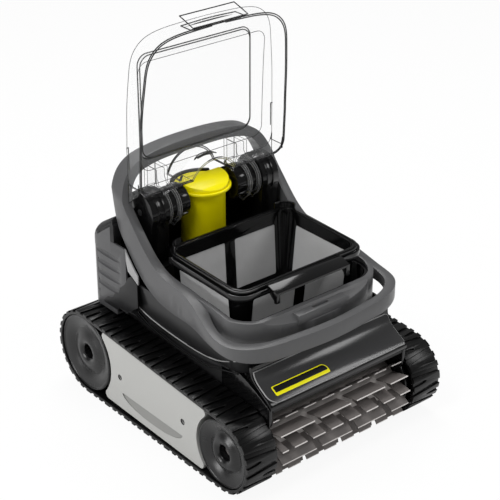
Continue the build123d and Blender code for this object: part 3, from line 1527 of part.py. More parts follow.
arm_plate = 3.0
arm_ring_radius = 29.5
arm_top_z = 354.0
arm_back_y = 125.0
arm_front_y = lid_back[0][0] + seat_gap
arm_box_low_z = 319.0
with BuildPart() as lid_arm_right:
    for low in (arm_in_x + 0.5, arm_out_x - arm_plate - 0.5):
        with BuildSketch(side_plane(low)):
            with Locations((hinge_y, hinge_z)):
                Circle(arm_ring_radius)
            # web from the ring up to the lid
            Polygon((hinge_y - 2, 325), (arm_front_y, lid_low_z - 2), (arm_front_y, arm_top_z),
                    (arm_back_y, arm_top_z), (arm_back_y, arm_box_low_z), (hinge_y + 27, hinge_z + 8),
                    (hinge_y, hinge_z + 28), align=None)
            # pointed toe under the ring
            Polygon((70, 284), (82, 268), (95, 272), align=None)
            with Locations((hinge_y, hinge_z)):
                Circle(barrel_radius + running_gap, mode=Mode.SUBTRACT)
        extrude(amount=arm_plate)
    # box that joins both plates behind the lid
    with BuildSketch(side_plane(arm_in_x + 0.5)):
        Polygon((arm_front_y, arm_top_z), (arm_back_y, arm_top_z), (arm_back_y, arm_box_low_z),
                (arm_back_y - arm_plate, arm_box_low_z), (arm_back_y - arm_plate, arm_top_z - arm_plate),
                (arm_front_y + arm_plate, arm_top_z - arm_plate), (arm_front_y + arm_plate, lid_low_z + 5),
                (arm_front_y, lid_low_z + 1), align=None)
    extrude(amount=arm_out_x - arm_in_x - 1)
save(lid_arm_right, "lid_arm_right")
save(mirrored(lid_arm_right.part), "lid_arm_left")
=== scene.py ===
# %% [markdown]
# # A tracked pool cleaner with its lid open
# The machine's size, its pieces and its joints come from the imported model, in metres.
# This lesson dresses that model: rounded mouldings, treaded rubber, a brush, a clear lid
# and a material for every finish, and then it sets up a plain studio round it.

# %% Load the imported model
import json
from math import atan2, cos, pi, radians, sin

import bmesh
import bpy
from mathutils import Matrix, Vector

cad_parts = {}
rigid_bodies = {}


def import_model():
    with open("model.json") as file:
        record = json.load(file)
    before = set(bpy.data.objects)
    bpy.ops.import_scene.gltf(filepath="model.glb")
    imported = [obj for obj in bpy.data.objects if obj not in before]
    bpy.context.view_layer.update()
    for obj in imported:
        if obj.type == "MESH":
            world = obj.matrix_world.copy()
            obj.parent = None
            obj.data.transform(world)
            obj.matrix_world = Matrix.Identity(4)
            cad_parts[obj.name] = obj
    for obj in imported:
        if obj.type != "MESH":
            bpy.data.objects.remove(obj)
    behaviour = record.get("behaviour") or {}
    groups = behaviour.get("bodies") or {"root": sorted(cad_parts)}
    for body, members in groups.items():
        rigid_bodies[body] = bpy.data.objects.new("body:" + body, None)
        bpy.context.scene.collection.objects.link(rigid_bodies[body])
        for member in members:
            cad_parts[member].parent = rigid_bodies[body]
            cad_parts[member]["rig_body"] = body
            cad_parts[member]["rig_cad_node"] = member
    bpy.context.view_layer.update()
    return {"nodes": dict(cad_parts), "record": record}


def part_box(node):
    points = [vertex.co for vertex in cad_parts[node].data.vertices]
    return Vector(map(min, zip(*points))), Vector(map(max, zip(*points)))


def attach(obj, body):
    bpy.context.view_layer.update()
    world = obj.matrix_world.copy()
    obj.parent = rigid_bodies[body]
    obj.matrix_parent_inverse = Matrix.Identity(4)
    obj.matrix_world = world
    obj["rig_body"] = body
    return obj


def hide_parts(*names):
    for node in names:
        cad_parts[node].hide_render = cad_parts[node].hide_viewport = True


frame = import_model()
nodes = frame["nodes"]
MM = 0.001
print("pieces in the packed model:", len(nodes))

# %% [markdown]
# ## Camera
# The picture looks down at the front left corner from about two metres, through a long
# lens, so that the lines of the tracks stay nearly parallel. A camera is placed from its
# target: a turn round the object, a height angle and a distance are easier to adjust than
# three coordinates.

# %% Camera
VIEW_TURN, VIEW_HEIGHT = radians(-39.86), radians(27.46)
VIEW_DISTANCE = 2.1094
VIEW_TARGET = Vector((0.0039, -0.0048, 0.2397))
LENS_MM, SENSOR_MM = 107.35, 36.0
towards_camera = Vector((sin(VIEW_TURN) * cos(VIEW_HEIGHT),
                         -cos(VIEW_TURN) * cos(VIEW_HEIGHT), sin(VIEW_HEIGHT)))
bpy.ops.object.camera_add(location=VIEW_TARGET + towards_camera * VIEW_DISTANCE)
camera = bpy.context.object
camera.name = "studio_camera"
camera.rotation_mode = "QUATERNION"
camera.rotation_quaternion = (-towards_camera).to_track_quat("-Z", "Y")
camera.data.lens = LENS_MM
camera.data.sensor_width = SENSOR_MM
camera.data.clip_start, camera.data.clip_end = 0.05, 60.0
bpy.context.scene.camera = camera
print("camera stands at", [round(v, 3) for v in camera.location])

# %% [markdown]
# ## Studio
# The machine stands on a pale floor that runs into a white surround. The floor takes the
# shadow, while the surround is white only to the camera and through clear walls, and a soft
# grey in reflections, so it adds little light of its own. Four large soft lamps give the
# plastics their broad highlights.

# %% Floor
FLOOR_SIZE, FLOOR_DROP = 24.0, 0.0006     # just under the tracks, so the two never flicker
FLOOR_GLOW = 0.92                         # share of plain white that the camera sees
bpy.ops.mesh.primitive_plane_add(size=FLOOR_SIZE, location=(0, 0, -FLOOR_DROP))
studio_floor = bpy.context.object
studio_floor.name = "studio_floor"


def new_material(name):
    """An empty node material and its Principled shader."""
    made = bpy.data.materials.new(name)
    made.use_nodes = True
    return made, made.node_tree.nodes["Principled BSDF"]


def add_node(tree, kind, **settings):
    """A node with its plain settings and its unlinked input values."""
    made = tree.nodes.new(kind)
    for key, value in settings.items():
        if hasattr(made, key):
            setattr(made, key, value)
        else:
            made.inputs[key.replace("_", " ")].default_value = value
    return made


def seen_by(tree, *rays):
    """1 for the given kinds of ray and 0 for the others."""
    path = tree.nodes.new("ShaderNodeLightPath")
    output = path.outputs[rays[0]]
    for ray in rays[1:]:
        either = add_node(tree, "ShaderNodeMath", operation="MAXIMUM")
        tree.links.new(output, either.inputs[0])
        tree.links.new(path.outputs[ray], either.inputs[1])
        output = either.outputs[0]
    return output


floor_paint, floor_shader = new_material("pale_floor")
floor_shader.inputs["Base Color"].default_value = (0.93, 0.93, 0.93, 1)
floor_shader.inputs["Roughness"].default_value = 0.9
floor_shader.inputs["Specular IOR Level"].default_value = 0.1
floor_tree = floor_paint.node_tree
glow = add_node(floor_tree, "ShaderNodeEmission", Strength=1.0)
glow_share = add_node(floor_tree, "ShaderNodeMath", operation="MULTIPLY")
glow_share.inputs[1].default_value = FLOOR_GLOW
blend_floor = add_node(floor_tree, "ShaderNodeMixShader")
floor_link = floor_tree.links.new
floor_link(seen_by(floor_tree, "Is Camera Ray", "Is Transmission Ray"), glow_share.inputs[0])
floor_link(glow_share.outputs[0], blend_floor.inputs["Fac"])
floor_link(floor_shader.outputs["BSDF"], blend_floor.inputs[1])
floor_link(glow.outputs["Emission"], blend_floor.inputs[2])
floor_link(blend_floor.outputs["Shader"], floor_tree.nodes["Material Output"].inputs["Surface"])
studio_floor.data.materials.append(floor_paint)
print("floor size:", FLOOR_SIZE)

# %% Surround and lamps
surround = bpy.data.worlds.new("studio_surround")
bpy.context.scene.world = surround
surround.use_nodes = True
sky = surround.node_tree
sky.nodes.clear()
SKY_LIGHT, SKY_IN_GLOSS = 0.3, 0.22
soft_sky = add_node(sky, "ShaderNodeBackground", Color=(1, 1, 1, 1), Strength=SKY_LIGHT)
gloss_sky = add_node(sky, "ShaderNodeBackground", Color=(1, 1, 1, 1), Strength=SKY_IN_GLOSS)
white_sky = add_node(sky, "ShaderNodeBackground", Color=(1, 1, 1, 1), Strength=1.0)
sky_gloss_mix = add_node(sky, "ShaderNodeMixShader")
sky_mix = add_node(sky, "ShaderNodeMixShader")
sky_out = add_node(sky, "ShaderNodeOutputWorld")
sky.links.new(seen_by(sky, "Is Glossy Ray"), sky_gloss_mix.inputs["Fac"])
sky.links.new(soft_sky.outputs[0], sky_gloss_mix.inputs[1])
sky.links.new(gloss_sky.outputs[0], sky_gloss_mix.inputs[2])
sky.links.new(seen_by(sky, "Is Camera Ray", "Is Transmission Ray"), sky_mix.inputs["Fac"])
sky.links.new(sky_gloss_mix.outputs[0], sky_mix.inputs[1])
sky.links.new(white_sky.outputs[0], sky_mix.inputs[2])
sky.links.new(sky_mix.outputs[0], sky_out.inputs["Surface"])
bpy.context.scene.view_settings.view_transform = "Standard"

# each lamp: name, place, side length in metres, power in watts
LAMPS = [("key_lamp", (-1.5, -0.4, 2.4), 0.9, 34),
         ("front_lamp", (1.35, -1.25, 1.5), 0.7, 9),
         ("side_lamp", (-2.4, 0.6, 0.4), 0.7, 17),
         ("top_lamp", (0.6, 0.9, 2.4), 1.2, 30)]
for lamp_name, place, side, power in LAMPS:
    bpy.ops.object.light_add(type="AREA", location=place)
    lamp = bpy.context.object
    lamp.name = lamp_name
    lamp.data.size = side
    lamp.data.energy = power
    lamp.rotation_mode = "QUATERNION"
    lamp.rotation_quaternion = (VIEW_TARGET - Vector(place)).to_track_quat("-Z", "Y")
print("lamps:", len(LAMPS))

# %% [markdown]
# ## Shared effects
# Moulded plastic is never one flat value. Its colour drifts a little over the piece, the
# gloss is broken by handling and dried water, and the skin has a fine grain. One node
# group holds that effect with named inputs, so every plastic uses it with its own values.

# %% Sockets of the moulded skin group


def group_socket(group, name, direction, kind, value=None):
    made = group.interface.new_socket(name=name, in_out=direction, socket_type=kind)
    if value is not None:
        made.default_value = value
    return made


moulded_skin = bpy.data.node_groups.new("moulded_skin", "ShaderNodeTree")
group_socket(moulded_skin, "Colour", "INPUT", "NodeSocketColor", (0.1, 0.1, 0.1, 1))
group_socket(moulded_skin, "Drift", "INPUT", "NodeSocketFloat", 0.1)
group_socket(moulded_skin, "Roughness", "INPUT", "NodeSocketFloat", 0.4)
group_socket(moulded_skin, "Smears", "INPUT", "NodeSocketFloat", 0.1)
group_socket(moulded_skin, "Grain Size", "INPUT", "NodeSocketFloat", 900.0)
group_socket(moulded_skin, "Grain Depth", "INPUT", "NodeSocketFloat", 0.05)
group_socket(moulded_skin, "Colour", "OUTPUT", "NodeSocketColor")
group_socket(moulded_skin, "Roughness", "OUTPUT", "NodeSocketFloat")
group_socket(moulded_skin, "Normal", "OUTPUT", "NodeSocketVector")
print("skin sockets:", len(moulded_skin.interface.items_tree))

# %% Wiring of the moulded skin group


def noise(tree, scale, detail=3.0):
    made = add_node(tree, "ShaderNodeTexNoise")
    made.inputs["Scale"].default_value = scale
    made.inputs["Detail"].default_value = detail
    return made


def fill_skin(tree):
    """Wires the moulded skin: drifting colour, smeared gloss and a fine grain."""
    link = tree.links.new
    given = tree.nodes.new("NodeGroupInput")
    result = tree.nodes.new("NodeGroupOutput")
    place = tree.nodes.new("ShaderNodeTexCoord")
    drift = noise(tree, 9.0, 4.0)
    link(place.outputs["Object"], drift.inputs["Vector"])
    centred = add_node(tree, "ShaderNodeMath", operation="SUBTRACT")
    link(drift.outputs["Fac"], centred.inputs[0])
    centred.inputs[1].default_value = 0.5
    amount = add_node(tree, "ShaderNodeMath", operation="MULTIPLY_ADD")
    link(centred.outputs[0], amount.inputs[0])
    link(given.outputs["Drift"], amount.inputs[1])
    amount.inputs[2].default_value = 1.0
    shade = add_node(tree, "ShaderNodeVectorMath", operation="SCALE")
    link(given.outputs["Colour"], shade.inputs[0])
    link(amount.outputs[0], shade.inputs["Scale"])
    link(shade.outputs[0], result.inputs["Colour"])
    smear = noise(tree, 26.0, 6.0)
    link(place.outputs["Object"], smear.inputs["Vector"])
    smear_centred = add_node(tree, "ShaderNodeMath", operation="SUBTRACT")
    link(smear.outputs["Fac"], smear_centred.inputs[0])
    smear_centred.inputs[1].default_value = 0.5
    gloss = add_node(tree, "ShaderNodeMath", operation="MULTIPLY_ADD", use_clamp=True)
    link(smear_centred.outputs[0], gloss.inputs[0])
    link(given.outputs["Smears"], gloss.inputs[1])
    link(given.outputs["Roughness"], gloss.inputs[2])
    link(gloss.outputs[0], result.inputs["Roughness"])
    grain = noise(tree, 900.0, 2.0)
    link(place.outputs["Object"], grain.inputs["Vector"])
    link(given.outputs["Grain Size"], grain.inputs["Scale"])
    relief = tree.nodes.new("ShaderNodeBump")
    relief.inputs["Distance"].default_value = 0.0004
    link(given.outputs["Grain Depth"], relief.inputs["Strength"])
    link(grain.outputs["Fac"], relief.inputs["Height"])
    link(relief.outputs["Normal"], result.inputs["Normal"])


fill_skin(moulded_skin)
print("nodes in the skin group:", len(moulded_skin.nodes))

# %% Plastics and rubbers


def plastic(name, colour, roughness, drift=0.12, smears=0.08, grain_size=900.0,
            grain_depth=0.08, specular=0.5):
    """A moulded plastic or rubber that wears the skin group."""
    made, shader = new_material(name)
    tree = made.node_tree
    skin = tree.nodes.new("ShaderNodeGroup")
    skin.node_tree = moulded_skin
    skin.inputs["Colour"].default_value = (*colour, 1)
    skin.inputs["Drift"].default_value = drift
    skin.inputs["Roughness"].default_value = roughness
    skin.inputs["Smears"].default_value = smears
    skin.inputs["Grain Size"].default_value = grain_size
    skin.inputs["Grain Depth"].default_value = grain_depth
    tree.links.new(skin.outputs["Colour"], shader.inputs["Base Color"])
    tree.links.new(skin.outputs["Roughness"], shader.inputs["Roughness"])
    tree.links.new(skin.outputs["Normal"], shader.inputs["Normal"])
    shader.inputs["Specular IOR Level"].default_value = specular
    return made


LOOKS = {
    "frame_grey": plastic("satin_grey_frame", (0.088, 0.088, 0.09), 0.36, smears=0.05,
                          grain_depth=0.04, specular=0.35),
    "body_grey": plastic("gloss_grey_body", (0.034, 0.034, 0.035), 0.2, smears=0.05,
                         grain_depth=0.01, specular=0.5),
    "dark_body": plastic("matt_black_body", (0.007, 0.007, 0.0075), 0.4, grain_depth=0.01,
                         specular=0.3),
    "black_gloss": plastic("gloss_black_mouldings", (0.003, 0.003, 0.0032), 0.14, smears=0.05,
                           grain_depth=0.01, specular=0.4),
    "panel_light": plastic("pale_grained_panel", (0.40, 0.40, 0.385), 0.45, drift=0.04,
                           smears=0.03, grain_depth=0.05),
    "track_rubber": plastic("track_rubber", (0.002, 0.002, 0.0021), 0.3, drift=0.4,
                            smears=0.12, grain_size=600.0, grain_depth=0.12, specular=0.35),
    "wheel_grey": plastic("satin_wheel", (0.0035, 0.0035, 0.0037), 0.27, smears=0.03,
                          grain_depth=0.005, specular=0.4),
    "outlet_yellow": plastic("gloss_yellow_outlet", (0.95, 0.84, 0.0), 0.28, drift=0.03,
                             smears=0.03, grain_depth=0.01, specular=0.3),
    "brush_rubber": plastic("brush_rubber", (0.17, 0.155, 0.148), 0.5, drift=0.25,
                            smears=0.15, grain_size=700.0, grain_depth=0.3, specular=0.3),
    "brush_core_grey": plastic("brush_core_grey", (0.14, 0.13, 0.125), 0.5, drift=0.2,
                               grain_depth=0.15),
    "gear_nylon": plastic("natural_nylon", (0.72, 0.71, 0.66), 0.45, drift=0.06),
    "battery_case": plastic("battery_case", (0.06, 0.06, 0.065), 0.5),
    "housing_grey": plastic("housing_grey_skin", (0.06, 0.06, 0.062), 0.35, smears=0.04,
                            grain_depth=0.005, specular=0.4),
    "shell_dark": plastic("dark_hull_skin", (0.009, 0.009, 0.0095), 0.3, smears=0.04,
                          grain_depth=0.005, specular=0.35),
    "flap_rubber": plastic("flap_rubber", (0.02, 0.02, 0.02), 0.6, grain_depth=0.2),
}
print("plastics and rubbers:", len(LOOKS))

# %% [markdown]
# ## Steel and mesh
# Screws, axles and motor cans are drawn or turned metal: fine lines that run one way and
# spread the highlight. The filter mesh is a fine weave, so its threads are two wave
# patterns that cross, which push the surface up and down.

# %% Drawn steel


def steel(name, colour, roughness, line_scale=1400.0):
    made, shader = new_material(name)
    tree = made.node_tree
    place = tree.nodes.new("ShaderNodeTexCoord")
    stretch = tree.nodes.new("ShaderNodeMapping")
    stretch.inputs["Scale"].default_value = (0.05, 1, 1)
    lines = noise(tree, line_scale, 2.0)
    spread = tree.nodes.new("ShaderNodeMapRange")
    spread.inputs["To Min"].default_value = roughness - 0.08
    spread.inputs["To Max"].default_value = roughness + 0.12
    relief = tree.nodes.new("ShaderNodeBump")
    relief.inputs["Strength"].default_value = 0.15
    relief.inputs["Distance"].default_value = 0.0002
    tree.links.new(place.outputs["Object"], stretch.inputs["Vector"])
    tree.links.new(stretch.outputs["Vector"], lines.inputs["Vector"])
    tree.links.new(lines.outputs["Fac"], spread.inputs["Value"])
    tree.links.new(spread.outputs["Result"], shader.inputs["Roughness"])
    tree.links.new(lines.outputs["Fac"], relief.inputs["Height"])
    tree.links.new(relief.outputs["Normal"], shader.inputs["Normal"])
    shader.inputs["Base Color"].default_value = (*colour, 1)
    shader.inputs["Metallic"].default_value = 1.0
    return made


LOOKS["steel"] = steel("turned_steel", (0.62, 0.62, 0.63), 0.3)
LOOKS["motor_case"] = steel("motor_can", (0.32, 0.32, 0.33), 0.4)
print("metals: 2")

# %% Filter mesh


def weave(name, colour, threads_per_metre):
    made, shader = new_material(name)
    tree = made.node_tree
    link = tree.links.new
    place = tree.nodes.new("ShaderNodeTexCoord")
    threads = []
    for direction in ("X", "Y", "Z"):
        wave = add_node(tree, "ShaderNodeTexWave", wave_type="BANDS",
                        bands_direction=direction)
        # at a scale of 1 the bands repeat about pi times in a metre
        wave.inputs["Scale"].default_value = threads_per_metre / pi
        wave.inputs["Distortion"].default_value = 0.3
        link(place.outputs["Object"], wave.inputs["Vector"])
        threads.append(wave)
    crossed = add_node(tree, "ShaderNodeMath", operation="MAXIMUM")
    link(threads[0].outputs["Fac"], crossed.inputs[0])
    link(threads[1].outputs["Fac"], crossed.inputs[1])
    woven = add_node(tree, "ShaderNodeMath", operation="MULTIPLY")
    link(crossed.outputs[0], woven.inputs[0])
    link(threads[2].outputs["Fac"], woven.inputs[1])
    stain = noise(tree, 30.0, 4.0)
    link(place.outputs["Object"], stain.inputs["Vector"])
    shade = tree.nodes.new("ShaderNodeMapRange")
    shade.inputs["To Min"].default_value = 0.82
    shade.inputs["To Max"].default_value = 1.08
    link(stain.outputs["Fac"], shade.inputs["Value"])
    tint = add_node(tree, "ShaderNodeVectorMath", operation="SCALE")
    tint.inputs[0].default_value = colour
    link(shade.outputs["Result"], tint.inputs["Scale"])
    link(tint.outputs[0], shader.inputs["Base Color"])
    relief = tree.nodes.new("ShaderNodeBump")
    relief.inputs["Strength"].default_value = 0.25
    relief.inputs["Distance"].default_value = 0.0003
    link(woven.outputs[0], relief.inputs["Height"])
    link(relief.outputs["Normal"], shader.inputs["Normal"])
    shader.inputs["Roughness"].default_value = 0.55
    shader.inputs["Sheen Weight"].default_value = 0.2
    return made


MESH_THREADS = 1200.0
LOOKS["filter_mesh"] = weave("woven_filter_mesh", (0.6, 0.6, 0.6), MESH_THREADS)
print("threads in a metre of mesh:", MESH_THREADS)

# %% [markdown]
# ## Clear plastic
# A thin clear wall lets nearly everything through, and shows itself where it bends: there
# the light is led sideways and the bend reads as a dark line. So the lid's walls are nearly
# unseen, and its bends get thin rods in darker tones, painted shade, later on.

# %% Clear plastic


def clear(name, tone, alpha, roughness=0.04):
    made, shader = new_material(name)
    tree = made.node_tree
    place = tree.nodes.new("ShaderNodeTexCoord")
    haze = noise(tree, 14.0, 5.0)
    tree.links.new(place.outputs["Object"], haze.inputs["Vector"])
    spread = tree.nodes.new("ShaderNodeMapRange")
    spread.inputs["From Min"].default_value = 0.3
    spread.inputs["From Max"].default_value = 0.7
    spread.inputs["To Min"].default_value = roughness
    spread.inputs["To Max"].default_value = roughness + 0.05
    tree.links.new(haze.outputs["Fac"], spread.inputs["Value"])
    tree.links.new(spread.outputs["Result"], shader.inputs["Roughness"])
    shader.inputs["Base Color"].default_value = (*tone, 1)
    shader.inputs["Alpha"].default_value = alpha
    shader.inputs["IOR"].default_value = 1.49
    shader.inputs["Specular IOR Level"].default_value = 0.5
    return made


LOOKS["clear_plastic"] = clear("clear_wall", (0.9, 0.92, 0.92), 0.03)
print("finishes:", len(LOOKS))

# %% [markdown]
# ## Rounded mouldings
# No moulded edge is sharp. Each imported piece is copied, its loose triangles are welded
# into one skin, flat areas are merged, and its edges are rounded by about a millimetre.
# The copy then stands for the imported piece, which stays as it is. Rounding a copy keeps
# every piece in its true place and still gives each edge its own thin highlight.

# %% Pick, paint and round


def pick(*objects):
    """Selects just these objects, the last one active."""
    bpy.ops.object.select_all(action="DESELECT")
    for one in objects:
        one.select_set(True)
    bpy.context.view_layer.objects.active = objects[-1]


def paint(piece, *looks):
    """Gives a piece its looks; all its faces start with the first one."""
    piece.data.materials.clear()
    for look in looks:
        piece.data.materials.append(look)


def apply_modifiers(piece):
    pick(piece)
    for modifier in list(piece.modifiers):
        bpy.ops.object.modifier_apply(modifier=modifier.name)


def round_edges(piece, width, sharper_than, segments=2):
    """Adds a bevel on the edges that turn by more than an angle."""
    bevel = piece.modifiers.new("round_edges", "BEVEL")
    bevel.width = width
    bevel.segments = segments
    bevel.limit_method = "ANGLE"
    bevel.angle_limit = sharper_than


print("a picked piece can be painted and rounded")

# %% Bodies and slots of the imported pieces
BODY_OF = {member: body for body, members in frame["record"]["behaviour"]["bodies"].items()
           for member in members}


def slot_of(node):
    """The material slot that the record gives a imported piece."""
    return next(entry["material_slot"] for entry in frame["record"]["subparts"]
                if entry["node"] == node)


def stand_for(piece, node):
    """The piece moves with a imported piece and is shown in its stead."""
    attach(piece, BODY_OF[node])
    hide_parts(node)


print("bodies:", sorted(set(BODY_OF.values())))

# %% A welded and rounded copy
WELD_WITHIN = 0.004 * MM
FLAT_WITHIN, ROUND_FROM, SMOOTH_TO = radians(0.4), radians(32), radians(38)


def welded_copy(node, name, merge_flats=True):
    """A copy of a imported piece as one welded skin, as a rule with its flat areas merged."""
    piece = nodes[node].copy()
    piece.data = nodes[node].data.copy()
    bpy.context.scene.collection.objects.link(piece)
    piece.hide_render = False
    piece.hide_viewport = False
    piece.hide_set(False)
    pick(piece)
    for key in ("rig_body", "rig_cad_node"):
        if key in piece:
            del piece[key]
    piece.parent = None
    piece.name = name
    piece.data.name = name
    bpy.ops.mesh.customdata_custom_splitnormals_clear()
    bpy.ops.object.mode_set(mode="EDIT")
    bpy.ops.mesh.select_all(action="SELECT")
    bpy.ops.mesh.remove_doubles(threshold=WELD_WITHIN)
    if merge_flats:
        bpy.ops.mesh.dissolve_limited(angle_limit=FLAT_WITHIN)
    bpy.ops.object.mode_set(mode="OBJECT")
    return piece


def soften(piece, width):
    """Rounds a moulding's edges and shades it smoothly."""
    round_edges(piece, width, ROUND_FROM)
    apply_modifiers(piece)
    bpy.ops.object.shade_smooth_by_angle(angle=SMOOTH_TO)


def rounded(node, edge, look=None):
    """A rounded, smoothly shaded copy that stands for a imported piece."""
    piece = welded_copy(node, node + "_moulding")
    paint(piece, look or LOOKS[slot_of(node)])
    soften(piece, edge)
    stand_for(piece, node)
    return piece


print("edges that turn by more than", round(ROUND_FROM, 3), "radians get rounded")

# %% [markdown]
# ## Rubber tracks
# A track is a flat rubber band that wears a row of wedge-shaped pads. The pads point left
# and right in turn, and each has a slot in its wide end, so the band can bend and still
# grip. One pad is modelled flat and repeated in a straight row, and the row is then wrapped
# round the wheels with a Curve modifier, which bends the rubber as the real band bends. The
# work is done lying down, in the plane of the wheels, and stood up at the end.

# %% Measures of the wheels and the band
BAND_THICKNESS, PAD_HEIGHT, BAND_EDGE = 4.3 * MM, 3.0 * MM, 0.7 * MM
PAD_COUNT = 42


def axle_of(node):
    """Middle of a wheel as (y, z), and its radius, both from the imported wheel."""
    low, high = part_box(node)
    return Vector(((low[1] + high[1]) / 2, (low[2] + high[2]) / 2, 0)), (high[2] - low[2]) / 2


rear_middle, rear_rim = axle_of("wheel_rear_left")
front_middle, front_rim = axle_of("wheel_front_left")
band_low, band_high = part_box("track_belt_left")
band_width = band_high[0] - band_low[0]
print("rims:", round(rear_rim, 4), round(front_rim, 4), "band width:", round(band_width, 4))


# %% A loop round both wheels


def settle(piece):
    """Moves the object's place, turn and size into its mesh."""
    pick(piece)
    bpy.ops.object.transform_apply(location=True, rotation=True, scale=True)


def clear_choice(kind):
    """Unselects a mesh, so that corners, edges or faces can then be chosen by their place."""
    bpy.ops.object.mode_set(mode="EDIT")
    bpy.ops.mesh.select_mode(type=kind)
    bpy.ops.mesh.select_all(action="DESELECT")
    bpy.ops.object.mode_set(mode="OBJECT")


def wheel_loop(growth, name):
    """Circle round the rear wheel whose front half is moved on to the front wheel."""
    bpy.ops.object.select_all(action="DESELECT")
    bpy.ops.mesh.primitive_circle_add(vertices=128, radius=rear_rim + growth,
                                      location=rear_middle)
    loop = bpy.context.object
    loop.name = name
    settle(loop)
    bend = (rear_rim - front_rim) / (rear_middle - front_middle).length
    forward = (front_middle - rear_middle).normalized()
    clear_choice("VERT")
    for corner in loop.data.vertices:
        corner.select = (corner.co - rear_middle).normalized().dot(forward) > bend
    bpy.ops.object.mode_set(mode="EDIT")
    smaller = (front_rim + growth) / (rear_rim + growth)
    bpy.ops.transform.resize(value=(smaller, smaller, 1), center_override=rear_middle)
    bpy.ops.transform.translate(value=front_middle - rear_middle)
    bpy.ops.object.mode_set(mode="OBJECT")
    return loop


def loop_length(loop):
    corners = loop.data.vertices
    return sum((corners[edge.vertices[0]].co - corners[edge.vertices[1]].co).length
               for edge in loop.data.edges)


def stand_up(piece, low_x):
    """Stands a piece made in the plane of the wheels on its tread."""
    pick(piece)
    piece.matrix_world = Matrix(((0, 0, 1, low_x), (1, 0, 0, 0), (0, 1, 0, 0), (0, 0, 0, 1)))
    settle(piece)


print("axles stand", round((front_middle - rear_middle).length, 4), "apart")

# %% One pad
PAD_SHARE, PAD_TAPER = 0.9, 0.56          # length over pitch, narrow end over wide end
PAD_RINGS = (-0.15, 0, 0.15)              # extra rings for the bend round a wheel
PAD_SLOT = (0.0031, 0.024, 1)             # half width, depth and height scale of the slot


def combine(piece, other, operation, looks="INDEX"):
    """Takes another form out of a piece, or adds it."""
    step = piece.modifiers.new("combine", "BOOLEAN")
    step.object = other
    step.operation = operation
    step.solver = "EXACT"
    step.material_mode = looks
    apply_modifiers(piece)


def tread_pad(pad_length):
    """Flat wedge pad, its length along X, its height along Y and its width along Z."""
    bpy.ops.object.select_all(action="DESELECT")
    bpy.ops.mesh.primitive_cube_add(
        size=1, location=(pad_length / 2, (PAD_HEIGHT - BAND_EDGE) / 2, band_width / 2),
        scale=(pad_length * PAD_SHARE, PAD_HEIGHT + BAND_EDGE, band_width))
    pad = bpy.context.object
    pad.name = "tread_pad"
    settle(pad)
    clear_choice("VERT")
    for corner in pad.data.vertices:
        corner.select = corner.co.z < band_width / 2
    bpy.ops.object.mode_set(mode="EDIT")
    bpy.ops.transform.resize(value=(PAD_TAPER, 1, 1), center_override=(pad_length / 2, 0, 0))
    for shift in PAD_RINGS:
        bpy.ops.mesh.select_all(action="SELECT")
        bpy.ops.mesh.bisect(plane_co=(pad_length * (0.5 + shift), 0, 0), plane_no=(1, 0, 0))
    bpy.ops.object.mode_set(mode="OBJECT")
    bpy.ops.object.select_all(action="DESELECT")
    bpy.ops.mesh.primitive_cylinder_add(
        vertices=20, radius=1, depth=4 * PAD_HEIGHT, rotation=(pi / 2, 0, 0), scale=PAD_SLOT,
        location=(pad_length / 2, 0, band_width * 0.99))
    slot_cutter = bpy.context.object
    settle(slot_cutter)
    combine(pad, slot_cutter, "DIFFERENCE")
    bpy.data.objects.remove(slot_cutter)
    round_edges(pad, 0.55 * MM, radians(40))
    apply_modifiers(pad)
    return pad


print("pads on a track:", PAD_COUNT, "height:", PAD_HEIGHT)

# %% Pads wrapped round the wheels


def copy_of(piece):
    pick(piece)
    bpy.ops.object.duplicate(linked=False)
    return bpy.context.object


def join(*pieces):
    """Makes one piece of several, in the mesh of the last one."""
    pick(*pieces)
    bpy.ops.object.join()
    return bpy.context.object


def wrapped_pads():
    """A straight row of pads, turned end for end in pairs, bent round both wheels."""
    wrap = wheel_loop(BAND_THICKNESS - BAND_EDGE / 2, "wrap_line")
    pitch = loop_length(wrap) / PAD_COUNT
    pad = tread_pad(pitch)
    turned_pad = copy_of(pad)
    turned_pad.matrix_world = Matrix(((-1, 0, 0, 2 * pitch), (0, 1, 0, 0),
                                      (0, 0, -1, band_width), (0, 0, 0, 1)))
    settle(turned_pad)
    join(turned_pad, pad)
    row = pad.modifiers.new("row", "ARRAY")
    row.count = PAD_COUNT // 2
    row.use_relative_offset = False
    row.use_constant_offset = True
    row.constant_offset_displace = (2 * pitch, 0, 0)
    pick(wrap)
    bpy.ops.object.convert(target="CURVE")
    wrap = bpy.context.object
    wrap.data.dimensions = "3D"
    wrap.data.twist_mode = "Z_UP"
    follow = pad.modifiers.new("wrap", "CURVE")
    follow.object = wrap
    follow.deform_axis = "POS_X"
    apply_modifiers(pad)
    bpy.data.objects.remove(wrap)
    return pad


def rubber_band(name):
    """The loop drawn out to its width and given its thickness."""
    band = wheel_loop(BAND_THICKNESS, name)
    pick(band)
    bpy.ops.object.mode_set(mode="EDIT")
    bpy.ops.mesh.select_all(action="SELECT")
    bpy.ops.mesh.extrude_region_move(TRANSFORM_OT_translate={"value": (0, 0, band_width)})
    bpy.ops.mesh.select_all(action="SELECT")
    bpy.ops.mesh.normals_make_consistent(inside=False)
    bpy.ops.object.mode_set(mode="OBJECT")
    wall = band.modifiers.new("thickness", "SOLIDIFY")
    wall.thickness = BAND_THICKNESS - 0.3 * MM
    wall.offset = -1
    wall.use_even_offset = True
    round_edges(band, 0.8 * MM, radians(50))
    apply_modifiers(band)
    return band


print("extra reach of a pad into the band:", BAND_EDGE)

